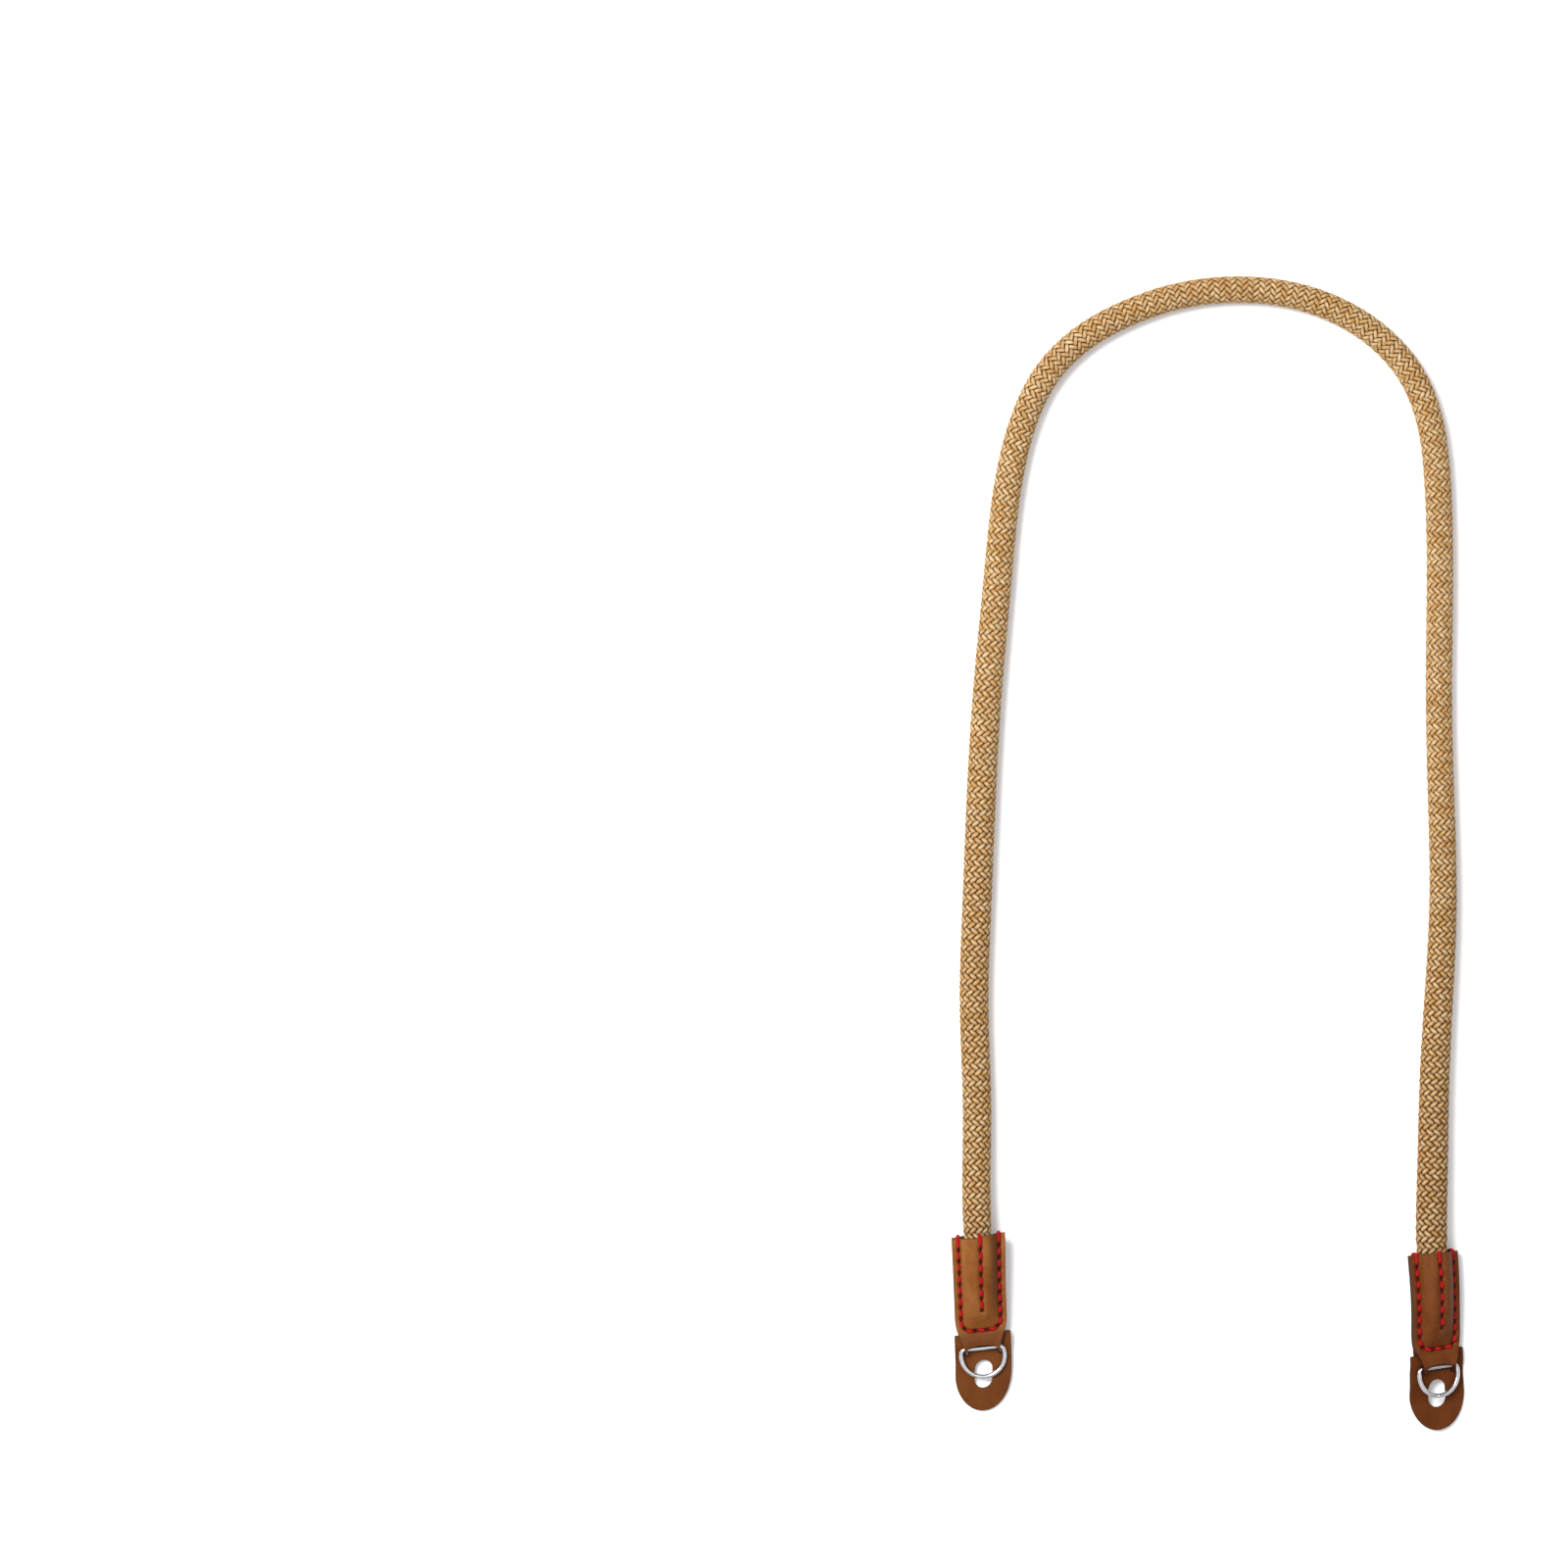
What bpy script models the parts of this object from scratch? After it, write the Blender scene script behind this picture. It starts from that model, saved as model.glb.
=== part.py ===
"""A rope neck strap for a small camera, lying loose on a flat surface.

One braided rope runs between two leather end sleeves. Each sleeve is a strip of leather folded
round the straight bar of a D-ring and sewn to the rope. A leather pad hangs on the same fold by
a slit, and keeps the ring off the camera. Metres, +Z up, and the surface is at z = 0.

Sizes are in millimetres. In an end's own frame x runs across, y runs along from the middle of
the ring's bar towards the sleeve's mouth, and z is the height above the surface.
"""

import math

import bmesh
import bpy
import numpy as np
from mathutils import Matrix, Vector

MM = 0.001

# Rope: a tube of the rope's diameter, squeezed where it goes into a sleeve.
ROPE_DIAMETER = 12.0
ROPE_STEP = 2.0 * ROPE_DIAMETER
ROPE_HIDDEN = 27.0
ROPE_TAPER = (
    ("past_mouth", "radius"),
    (-6.0, 0.5 * ROPE_DIAMETER),
    (-0.7, 5.75),
    (13.5, 5.2),
    (ROPE_HIDDEN, 3.15),
)

# The rope's route from inside the left sleeve round to the inside of the right one.
ROUTE = (
    ("x", "y", "z"),
    (-90.1, 11.4, 6.75),
    (-90.7, 24.9, 8.6),
    (-91.3, 38.4, 9.1),
    (-91.7, 52.5, 8.35),
    (-91.6, 69.5, 7.05),
    (-91.4, 88.5, 6.3),
    (-92.5, 128.5, 6.12),
    (-91.4, 170.5, 6.12),
    (-89.7, 212.5, 6.12),
    (-87.2, 254.5, 6.12),
    (-83.3, 297.5, 6.12),
    (-78.6, 338.5, 6.12),
    (-73.2, 360.0, 6.12),
    (-64.0, 379.0, 6.12),
    (-49.1, 393.9, 6.12),
    (-30.7, 404.0, 6.12),
    (-10.8, 410.5, 6.12),
    (10.1, 412.9, 6.12),
    (31.1, 411.2, 6.12),
    (50.9, 404.8, 6.12),
    (68.5, 393.4, 6.12),
    (81.8, 377.1, 6.12),
    (88.7, 357.5, 6.12),
    (91.1, 336.5, 6.12),
    (92.0, 294.5, 6.12),
    (91.6, 252.5, 6.12),
    (92.5, 210.5, 6.12),
    (93.2, 170.5, 6.12),
    (91.6, 134.5, 6.12),
    (89.8, 100.5, 6.12),
    (89.0, 66.5, 6.2),
    (88.4, 46.5, 7.2),
    (88.5, 31.3, 7.95),
    (89.5, 17.8, 8.15),
    (90.1, 4.2, 7.3),
)

# How each end lies: the place of its bar's middle, its turn in plan, how far its cross edges are
# out of square, its lean towards the mouth, its roll about its own length and its lift off the
# surface. Below the ring the pad untwists and droops by two more angles, till it lies flatter than
# the sleeve. The arch is how far the window's top is past the bar's middle, and the joint is where
# the ring's wire ends meet.
ENDS = {
    "left": {
        "bar": (-89.3, -6.5),
        "yaw": 2.6,
        "skew": 3.6,
        "pitch": 0.0,
        "roll": 0.0,
        "lift": 1.5,
        "pad_twist": 0.0,
        "pad_droop": 4.7,
        "arch": 1.1,
        "ring_joint": 242.0,
    },
    "right": {
        "bar": (89.9, -14.0),
        "yaw": 5.0,
        "skew": 1.2,
        "pitch": -3.7,
        "roll": 20.0,
        "lift": 3.5,
        "pad_twist": 12.0,
        "pad_droop": 3.7,
        "arch": 0.5,
        "ring_joint": 262.0,
    },
}

# Sleeve: a folded strip whose two layers part over the rope and again over the pad and the bar.
LEATHER = 1.3
LAYER_GAP = 0.2
LAYER_SPREAD = 0.5 * (LEATHER + LAYER_GAP)
MOUTH = 44.9
SEAM_END = 8.0
SLEEVE_HALF_WIDTH = 10.3
TUNNEL_HALF_WIDTH = 7.3
TUNNEL_POWER = 3.0
SLEEVE_COLUMNS = (0.0, 1.8, 3.4, 4.7, 5.7, 6.4, 6.9, TUNNEL_HALF_WIDTH, SLEEVE_HALF_WIDTH)
SEWN_ROWS = (MOUTH, 40.0, 35.0, 30.0, 26.0, 22.0, 19.0, 16.5, 14.5, 12.8, 11.3, 10.0, 9.0, SEAM_END)
NECK_ROWS = (7.3, 6.6, 5.9, 5.0, 3.8, 2.4, 1.2)
SLEEVE_OUTLINE = (
    ("along", "half_width"),
    (-3.0, 6.98),
    (0.0, 7.08),
    (1.4, 7.45),
    (2.9, 8.0),
    (5.6, 8.95),
    (7.4, 9.55),
    (9.2, 10.0),
    (11.5, 10.25),
    (15.0, SLEEVE_HALF_WIDTH),
    (MOUTH, SLEEVE_HALF_WIDTH),
)
SEWN_BODY = (
    ("along", "seam_height", "back_tunnel", "front_tunnel"),
    (SEAM_END, 3.6, 0.0, 0.0),
    (10.5, 3.85, 0.85, 1.3),
    (14.0, 4.4, 2.4, 3.2),
    (20.0, 5.63, 4.2, 4.8),
    (28.0, 6.83, 5.4, 5.7),
    (36.0, 7.38, 5.95, 6.05),
    (MOUTH, 7.63, 6.2, 6.2),
)

# Ring: a wire bent to a D, its two ends butted on the round side.
WIRE_RADIUS = 0.9
RING_RADIUS = 8.5
RING_DROP = 3.0
RING_CORNER_RADIUS = 1.6
RING_JOINT_GAP = 0.25
BAR_CLEARANCE = 0.25
BAR_HEIGHT = 3.55
RING_LOW = 2.5

# The layers of the neck, where they part round the pad and the bar.
NECK_LAYERS = (
    ("along", "back_height", "front_height"),
    (-1.0, 0.65, 5.35),
    (0.0, 0.65, 5.35),
    (1.2, 0.65, 5.43),
    (2.4, 0.65, 5.38),
    (4.2, 0.75, 5.08),
    (5.9, 1.15, 4.7),
    (6.8, 1.75, 4.5),
    (SEAM_END, 3.6 - LAYER_SPREAD, 3.6 + LAYER_SPREAD),
)
LIP_RADIUS = 1.5

# Window: the hole in the strip that leaves the middle of the bar bare once the strip is folded.
WINDOW_HALF_WIDTH = 6.3
WINDOW_SPRING = -0.9
WINDOW_FOOT = -3.2

# Pad: it dips from between the sleeve's two layers down to the surface.
PAD_THICKNESS = 1.3
PAD_HALF_WIDTH = 11.2
PAD_TOP = 5.9
PAD_ROUND_START = -10.0
PAD_TIP = -25.3
PAD_CORNER_RADIUS = 0.6
PAD_FLAT_END = -7.4
PAD_HEIGHT = (
    ("along", "height"),
    (PAD_FLAT_END, 0.65),
    (-5.2, 0.68),
    (-3.4, 0.82),
    (-1.6, 1.18),
    (-0.5, 1.52),
    (1.2, 2.17),
    (3.5, 2.5),
    (PAD_TOP, 2.88),
)
PAD_BENDS = (PAD_FLAT_END, -6.2, -5.1, -4.0, -2.9, -1.8, -0.6, 0.6, 2.4, 4.2)
PAD_TWIST_START = -3.4
PAD_TWIST_END = -15.4
PAD_TWIST_BENDS = (PAD_TWIST_END, -13.9, -12.4, -10.9, -9.1)
PAD_TWIST_COLUMNS = (-9.0, -6.4, -3.7, -1.2, 1.2, 3.7, 6.4, 9.0)
SLIT_HALF_WIDTH = 7.4
SLIT_TOP = 1.15
SLIT_FOOT = -2.65
TONGUE_HALF_WIDTH = 6.05
TONGUE_TOP = -1.15
HOLE_CENTRE = -10.6
HOLE_WIDTH = 7.0
HOLE_LENGTH = 11.1

ARC_STEP = 15.0
FINE_ARC_STEP = 8.0


def clear_scene():
    for obj in list(bpy.data.objects):
        bpy.data.objects.remove(obj, do_unlink=True)


def material(name, colour, roughness, metallic=0.0):
    made = bpy.data.materials.new(name)
    made.use_nodes = True
    shader = made.node_tree.nodes["Principled BSDF"]
    shader.inputs["Base Color"].default_value = (*colour, 1.0)
    shader.inputs["Roughness"].default_value = roughness
    shader.inputs["Metallic"].default_value = metallic
    return made


def link(name, data, finish, place=None):
    obj = bpy.data.objects.new(name, data)
    obj.data.materials.append(finish)
    bpy.context.scene.collection.objects.link(obj)
    if place is not None:
        obj.matrix_world = place
    return obj


def column(table, name):
    """The named column of a table whose first row holds its headings."""
    index = table[0].index(name)
    return np.array([row[index] for row in table[1:]], float)


def smooth_curve(knots, values):
    """A function that follows a natural cubic spline through rows of values at the knots."""
    step = np.diff(knots)
    count = len(knots)
    system = np.eye(count)
    right = np.zeros_like(values)
    for i in range(1, count - 1):
        system[i, i - 1] = step[i - 1]
        system[i, i] = 2.0 * (step[i - 1] + step[i])
        system[i, i + 1] = step[i]
        slope_before = (values[i] - values[i - 1]) / step[i - 1]
        slope_after = (values[i + 1] - values[i]) / step[i]
        right[i] = 6.0 * (slope_after - slope_before)
    bend = np.linalg.solve(system, right)

    def at(where):
        where = np.clip(where, knots[0], knots[-1])
        i = np.clip(np.searchsorted(knots, where, side="right") - 1, 0, count - 2)
        width = step[i][:, None]
        before = (knots[i + 1] - where)[:, None] / width
        after = (where - knots[i])[:, None] / width
        curl = (before**3 - before) * bend[i] + (after**3 - after) * bend[i + 1]
        return before * values[i] + after * values[i + 1] + curl * width**2 / 6.0

    return at


def profile(table, name):
    """A smooth function of the place along a piece, through a table's named column."""
    curve = smooth_curve(column(table, "along"), column(table, name)[:, None])
    return lambda along: float(curve(np.array([along]))[0, 0])


def arc(centre, radius, start, end, step=ARC_STEP):
    """Points on an arc between two angles in degrees, with both of its ends."""
    count = max(2, math.ceil(abs(end - start) / step) + 1)
    return [
        (centre[0] + radius * math.cos(angle), centre[1] + radius * math.sin(angle))
        for angle in np.radians(np.linspace(start, end, count))
    ]


def end_matrix(end):
    """From an end's own frame to the world, for a mesh that is already in metres."""
    place = Matrix.Translation((end["bar"][0] * MM, end["bar"][1] * MM, end["lift"] * MM))
    turn = Matrix.Rotation(math.radians(end["yaw"]), 4, "Z")
    lean = Matrix.Rotation(math.radians(end["pitch"]), 4, "X")
    roll = Matrix.Rotation(math.radians(end["roll"]), 4, "Y")
    return place @ turn @ lean @ roll


def skew_matrix(end):
    """The slant of an end's cross edges."""
    slant = Matrix.Identity(4)
    slant[1][0] = math.tan(math.radians(end["skew"]))
    return slant


# Rope.

def make_rope(finish):
    route = np.column_stack([column(ROUTE, axis) for axis in "xyz"])
    knots = np.r_[0.0, np.cumsum(np.linalg.norm(np.diff(route, axis=0), axis=1))]
    fine = smooth_curve(knots, route)(np.linspace(0.0, knots[-1], 2000))
    along = np.r_[0.0, np.cumsum(np.linalg.norm(np.diff(fine, axis=0), axis=1))]
    length = along[-1]
    past_mouth = column(ROPE_TAPER, "past_mouth")
    end_stations = ROPE_HIDDEN - past_mouth[::-1]
    free = length - 2.0 * end_stations[-1]
    middle = np.linspace(0.0, free, int(round(free / ROPE_STEP)) + 1)[1:-1] + end_stations[-1]
    stations = np.concatenate([end_stations, middle, length - end_stations[::-1]])
    hidden = ROPE_HIDDEN - np.minimum(stations, length - stations)
    radii = np.interp(hidden, past_mouth, column(ROPE_TAPER, "radius"))
    curve = bpy.data.curves.new("rope", "CURVE")
    curve.dimensions = "3D"
    curve.bevel_depth = 0.5 * ROPE_DIAMETER * MM
    curve.bevel_resolution = 4
    curve.use_fill_caps = True
    spline = curve.splines.new("POLY")
    spline.points.add(len(stations) - 1)
    for knot, station, radius in zip(spline.points, stations, radii):
        place = [np.interp(station, along, fine[:, axis]) * MM for axis in range(3)]
        knot.co = (*place, 1.0)
        knot.radius = radius / (0.5 * ROPE_DIAMETER)
    return link("rope", curve, finish)


# Sleeve.

def across(half_width, height_at):
    """A row of x and z pairs over the full width, from one side's columns."""
    scale = half_width / SLEEVE_HALF_WIDTH
    columns = [-x for x in reversed(SLEEVE_COLUMNS[1:])] + list(SLEEVE_COLUMNS)
    return [(x * scale, height_at(x)) for x in columns]


def sewn_rows(side):
    """Rows of one layer from the mouth to the seam's end; side is 1 in front and -1 behind."""
    half_width = profile(SLEEVE_OUTLINE, "half_width")
    seam_height = profile(SEWN_BODY, "seam_height")
    tunnel_height = profile(SEWN_BODY, "front_tunnel" if side > 0 else "back_tunnel")
    rows = []
    for along in SEWN_ROWS:
        seam = seam_height(along)
        tunnel = max(tunnel_height(along), 0.0)

        def height(x):
            part = min(abs(x) / TUNNEL_HALF_WIDTH, 1.0)
            return seam + side * (LAYER_SPREAD + tunnel * (1.0 - part**TUNNEL_POWER))

        rows.append([(x, along, z) for x, z in across(half_width(along), height)])
    return rows


def level_rows(path):
    """Rows that are level across, one for each place along the strip and its height there."""
    half_width = profile(SLEEVE_OUTLINE, "half_width")
    return [
        [(x, along, z) for x, z in across(half_width(along), lambda _: height)]
        for along, height in path
    ]


def fold_path():
    """Round the front of the bar and down through the pad's slit, from the front to the back."""
    radius = WIRE_RADIUS + BAR_CLEARANCE + 0.5 * LEATHER
    lip = (LIP_RADIUS - radius, LIP_RADIUS + 0.5 * LEATHER)
    return arc((0.0, BAR_HEIGHT), radius, 90.0, 180.0) + arc(lip, LIP_RADIUS, 180.0, 270.0)


def sleeve_rows():
    front_height = profile(NECK_LAYERS, "front_height")
    back_height = profile(NECK_LAYERS, "back_height")
    front = [(along, front_height(along)) for along in NECK_ROWS]
    back = [(along, back_height(along)) for along in reversed(NECK_ROWS)]
    neck = level_rows(front + fold_path() + back)
    return sewn_rows(1) + neck + list(reversed(sewn_rows(-1)))


def sheet_mesh(name, rows):
    """A sheet through rows of points, whose faces look outwards."""
    shape = bmesh.new()
    grid = [[shape.verts.new(Vector(point) * MM) for point in row] for row in rows]
    for upper, lower in zip(grid, grid[1:]):
        for i in range(len(upper) - 1):
            shape.faces.new((upper[i], lower[i], lower[i + 1], upper[i + 1]))
    mesh = bpy.data.meshes.new(name)
    shape.to_mesh(mesh)
    shape.free()
    return mesh


def window_cutter(end, place):
    """An upright prism with an arched top, which opens the strip on both sides of its fold."""
    rise = end["arch"] - WINDOW_SPRING
    crown = [
        (WINDOW_HALF_WIDTH * x, WINDOW_SPRING + rise * y)
        for x, y in arc((0.0, 0.0), 1.0, 0.0, 180.0)
    ]
    outline = [*crown, (-WINDOW_HALF_WIDTH, WINDOW_FOOT), (WINDOW_HALF_WIDTH, WINDOW_FOOT)]
    shape = bmesh.new()
    face = shape.faces.new([shape.verts.new((x * MM, y * MM, -MM)) for x, y in outline])
    raised = bmesh.ops.extrude_face_region(shape, geom=[face])["geom"]
    verts = [item for item in raised if isinstance(item, bmesh.types.BMVert)]
    bmesh.ops.translate(shape, verts=verts, vec=(0.0, 0.0, 10.0 * MM))
    bmesh.ops.recalc_face_normals(shape, faces=shape.faces)
    mesh = bpy.data.meshes.new("window_cutter")
    shape.to_mesh(mesh)
    shape.free()
    mesh.transform(skew_matrix(end))
    cutter = bpy.data.objects.new("window_cutter", mesh)
    bpy.context.scene.collection.objects.link(cutter)
    cutter.matrix_world = place
    cutter.hide_render = True
    cutter.display_type = "WIRE"
    return cutter


def make_sleeve(side, end, place, finish):
    mesh = sheet_mesh("sleeve_" + side, sleeve_rows())
    mesh.transform(skew_matrix(end))
    sleeve = link("sleeve_" + side, mesh, finish, place)
    leather = sleeve.modifiers.new("leather", "SOLIDIFY")
    leather.thickness = LEATHER * MM
    leather.offset = 0.0
    leather.use_even_offset = True
    window = sleeve.modifiers.new("window", "BOOLEAN")
    window.operation = "DIFFERENCE"
    window.object = window_cutter(end, place)
    return sleeve


# Ring.

def ring_points(joint):
    """The wire's middle line in the ring's own plane, from one butted end round to the other."""
    reach = RING_RADIUS - RING_CORNER_RADIUS
    corner_y = RING_DROP - RING_CORNER_RADIUS
    corner_x = math.sqrt(reach**2 - corner_y**2)
    meet = math.degrees(math.atan2(corner_y, corner_x))
    half_gap = math.degrees(0.5 * RING_JOINT_GAP / RING_RADIUS)
    centre = (0.0, -RING_DROP)
    right_corner = (corner_x, -RING_CORNER_RADIUS)
    left_corner = (-corner_x, -RING_CORNER_RADIUS)
    points = arc(centre, RING_RADIUS, joint - 360.0 + half_gap, meet, FINE_ARC_STEP)[:-1]
    points += arc(right_corner, RING_CORNER_RADIUS, meet, 90.0)
    points += arc(left_corner, RING_CORNER_RADIUS, 90.0, 180.0 - meet)
    points += arc(centre, RING_RADIUS, 180.0 - meet, joint - half_gap, FINE_ARC_STEP)[1:]
    return points


def make_ring(side, end, place, finish):
    """A bent wire, whose origin is in the middle of its bar, where it turns."""
    curve = bpy.data.curves.new("ring_" + side, "CURVE")
    curve.dimensions = "3D"
    curve.bevel_depth = WIRE_RADIUS * MM
    curve.bevel_resolution = 3
    curve.use_fill_caps = True
    points = ring_points(end["ring_joint"])
    spline = curve.splines.new("POLY")
    spline.points.add(len(points) - 1)
    for knot, (x, y) in zip(spline.points, points):
        knot.co = (x * MM, y * MM, 0.0, 1.0)
    fall = math.atan2(BAR_HEIGHT - RING_LOW, RING_RADIUS + RING_DROP)
    raised = Matrix.Translation((0.0, 0.0, BAR_HEIGHT * MM))
    turn = Matrix.Rotation(math.radians(end["skew"]), 4, "Z")
    return link("ring_" + side, curve, finish, place @ raised @ turn @ Matrix.Rotation(fall, 4, "X"))


# Pad.

def pad_outline():
    """A square top with eased corners, straight sides and half an ellipse below."""
    ease = PAD_CORNER_RADIUS
    right = arc((PAD_HALF_WIDTH - ease, PAD_TOP - ease), ease, 90.0, 0.0)
    depth = PAD_ROUND_START - PAD_TIP
    bottom = [
        (PAD_HALF_WIDTH * x, PAD_ROUND_START + depth * y)
        for x, y in arc((0.0, 0.0), 1.0, 0.0, -180.0, FINE_ARC_STEP)
    ]
    return right + bottom + [(-x, y) for x, y in reversed(right)]


def hole_outline():
    """A slot with round ends, which the camera's lug comes through."""
    radius = 0.5 * HOLE_WIDTH
    reach = 0.5 * HOLE_LENGTH - radius
    upper = arc((0.0, HOLE_CENTRE + reach), radius, 0.0, 180.0)
    lower = arc((0.0, HOLE_CENTRE - reach), radius, 180.0, 360.0)
    return upper + lower


def slit_outline():
    """Room for the bar, and a notch at each side for the strip, with a tongue between them."""
    right = [
        (SLIT_HALF_WIDTH, SLIT_TOP),
        (SLIT_HALF_WIDTH, SLIT_FOOT),
        (TONGUE_HALF_WIDTH, SLIT_FOOT),
        (TONGUE_HALF_WIDTH, TONGUE_TOP),
    ]
    return right + [(-x, y) for x, y in reversed(right)]


def flat_pad():
    """The pad cut out flat, as a mesh."""
    flat = bpy.data.curves.new("pad", "CURVE")
    flat.dimensions = "2D"
    flat.fill_mode = "BOTH"
    flat.extrude = 0.5 * PAD_THICKNESS * MM
    for outline in (pad_outline(), hole_outline(), slit_outline()):
        spline = flat.splines.new("POLY")
        spline.points.add(len(outline) - 1)
        spline.use_cyclic_u = True
        for knot, (x, y) in zip(spline.points, outline):
            knot.co = (x * MM, y * MM, 0.0, 1.0)
    guide = bpy.data.objects.new("pad", flat)
    mesh = bpy.data.meshes.new_from_object(guide)
    bpy.data.objects.remove(guide)
    bpy.data.curves.remove(flat)
    return mesh


def smooth_step(start, end, value):
    """0 at the start, 1 at the end, level at both and beyond them."""
    part = min(max((value - start) / (end - start), 0.0), 1.0)
    return part * part * (3.0 - 2.0 * part)


def cut_along(shape, normal, places):
    """Cuts a mesh by planes square to the normal, so that it can bend there."""
    for place in places:
        bmesh.ops.bisect_plane(
            shape,
            geom=[*shape.verts, *shape.edges, *shape.faces],
            dist=0.001 * MM,
            plane_co=place * MM * normal,
            plane_no=normal,
        )


def make_pad(side, end, place, finish):
    """The flat pad, cut where it bends and twists, and each point then raised to its height."""
    mesh = flat_pad()
    mesh.name = "pad_" + side
    shape = bmesh.new()
    shape.from_mesh(mesh)
    bmesh.ops.remove_doubles(shape, verts=shape.verts, dist=0.001 * MM)
    cut_along(shape, Vector((0.0, 1.0, 0.0)), PAD_BENDS)
    if end["pad_twist"]:
        cut_along(shape, Vector((0.0, 1.0, 0.0)), PAD_TWIST_BENDS)
        cut_along(shape, Vector((1.0, 0.0, 0.0)), PAD_TWIST_COLUMNS)
    height = profile(PAD_HEIGHT, "height")
    twist = math.tan(math.radians(end["pad_twist"]))
    droop = math.tan(math.radians(end["pad_droop"]))
    for vert in shape.verts:
        x, y, _ = vert.co / MM
        untwist = smooth_step(PAD_TWIST_START, PAD_TWIST_END, y) * (PAD_HALF_WIDTH - x) * twist
        vert.co.z += (height(y) - untwist - droop * max(PAD_FLAT_END - y, 0.0)) * MM
    bmesh.ops.triangulate(shape, faces=shape.faces)
    shape.to_mesh(mesh)
    shape.free()
    mesh.transform(skew_matrix(end))
    return link("pad_" + side, mesh, finish, place)


def main():
    clear_scene()
    cotton = material("cotton_rope", (0.56, 0.40, 0.20), 0.85)
    leather = material("brown_leather", (0.23, 0.09, 0.03), 0.55)
    wire = material("plated_wire", (0.80, 0.80, 0.82), 0.18, 1.0)
    make_rope(cotton)
    for side, end in ENDS.items():
        place = end_matrix(end)
        make_sleeve(side, end, place, leather)
        make_pad(side, end, place, leather)
        make_ring(side, end, place, wire)


main()
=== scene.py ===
import math

import bmesh
import bpy
import numpy as np
from mathutils import Matrix, Vector, kdtree


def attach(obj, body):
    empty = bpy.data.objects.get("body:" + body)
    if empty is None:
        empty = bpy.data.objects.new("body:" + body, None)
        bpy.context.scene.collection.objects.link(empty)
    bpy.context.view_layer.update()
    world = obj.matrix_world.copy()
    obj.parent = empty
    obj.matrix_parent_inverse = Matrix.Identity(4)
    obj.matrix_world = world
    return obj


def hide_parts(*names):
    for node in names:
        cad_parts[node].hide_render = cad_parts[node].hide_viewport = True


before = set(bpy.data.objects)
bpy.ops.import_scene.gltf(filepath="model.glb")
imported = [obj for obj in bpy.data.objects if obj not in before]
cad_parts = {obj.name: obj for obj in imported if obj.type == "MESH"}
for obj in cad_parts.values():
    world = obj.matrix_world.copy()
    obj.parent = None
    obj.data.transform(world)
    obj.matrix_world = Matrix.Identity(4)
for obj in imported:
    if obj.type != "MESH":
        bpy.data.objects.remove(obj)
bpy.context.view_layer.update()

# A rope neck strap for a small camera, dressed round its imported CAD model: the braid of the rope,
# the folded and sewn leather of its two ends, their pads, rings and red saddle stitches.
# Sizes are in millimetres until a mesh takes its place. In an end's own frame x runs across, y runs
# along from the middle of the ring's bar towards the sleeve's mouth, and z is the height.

MM = 0.001

# Sizes that the CAD solids are made from.
ROPE_RADIUS = 6.0
ROPE_HIDDEN = 27.0
ROPE_TAPER = (
    ("past_mouth", "radius"),
    (-6.0, ROPE_RADIUS),
    (-0.7, 5.75),
    (13.5, 5.2),
    (ROPE_HIDDEN, 3.15),
)
ROUTE = (
    ("x", "y", "z"),
    (-90.1, 11.4, 6.75),
    (-90.7, 24.9, 8.6),
    (-91.3, 38.4, 9.1),
    (-91.7, 52.5, 8.35),
    (-91.6, 69.5, 7.05),
    (-91.4, 88.5, 6.3),
    (-92.5, 128.5, 6.12),
    (-91.4, 170.5, 6.12),
    (-89.7, 212.5, 6.12),
    (-87.2, 254.5, 6.12),
    (-83.3, 297.5, 6.12),
    (-78.6, 338.5, 6.12),
    (-73.2, 360.0, 6.12),
    (-64.0, 379.0, 6.12),
    (-49.1, 393.9, 6.12),
    (-30.7, 404.0, 6.12),
    (-10.8, 410.5, 6.12),
    (10.1, 412.9, 6.12),
    (31.1, 411.2, 6.12),
    (50.9, 404.8, 6.12),
    (68.5, 393.4, 6.12),
    (81.8, 377.1, 6.12),
    (88.7, 357.5, 6.12),
    (91.1, 336.5, 6.12),
    (92.0, 294.5, 6.12),
    (91.6, 252.5, 6.12),
    (92.5, 210.5, 6.12),
    (93.2, 170.5, 6.12),
    (91.6, 134.5, 6.12),
    (89.8, 100.5, 6.12),
    (89.0, 66.5, 6.2),
    (88.4, 46.5, 7.2),
    (88.5, 31.3, 7.95),
    (89.5, 17.8, 8.15),
    (90.1, 4.2, 7.3),
)
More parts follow.
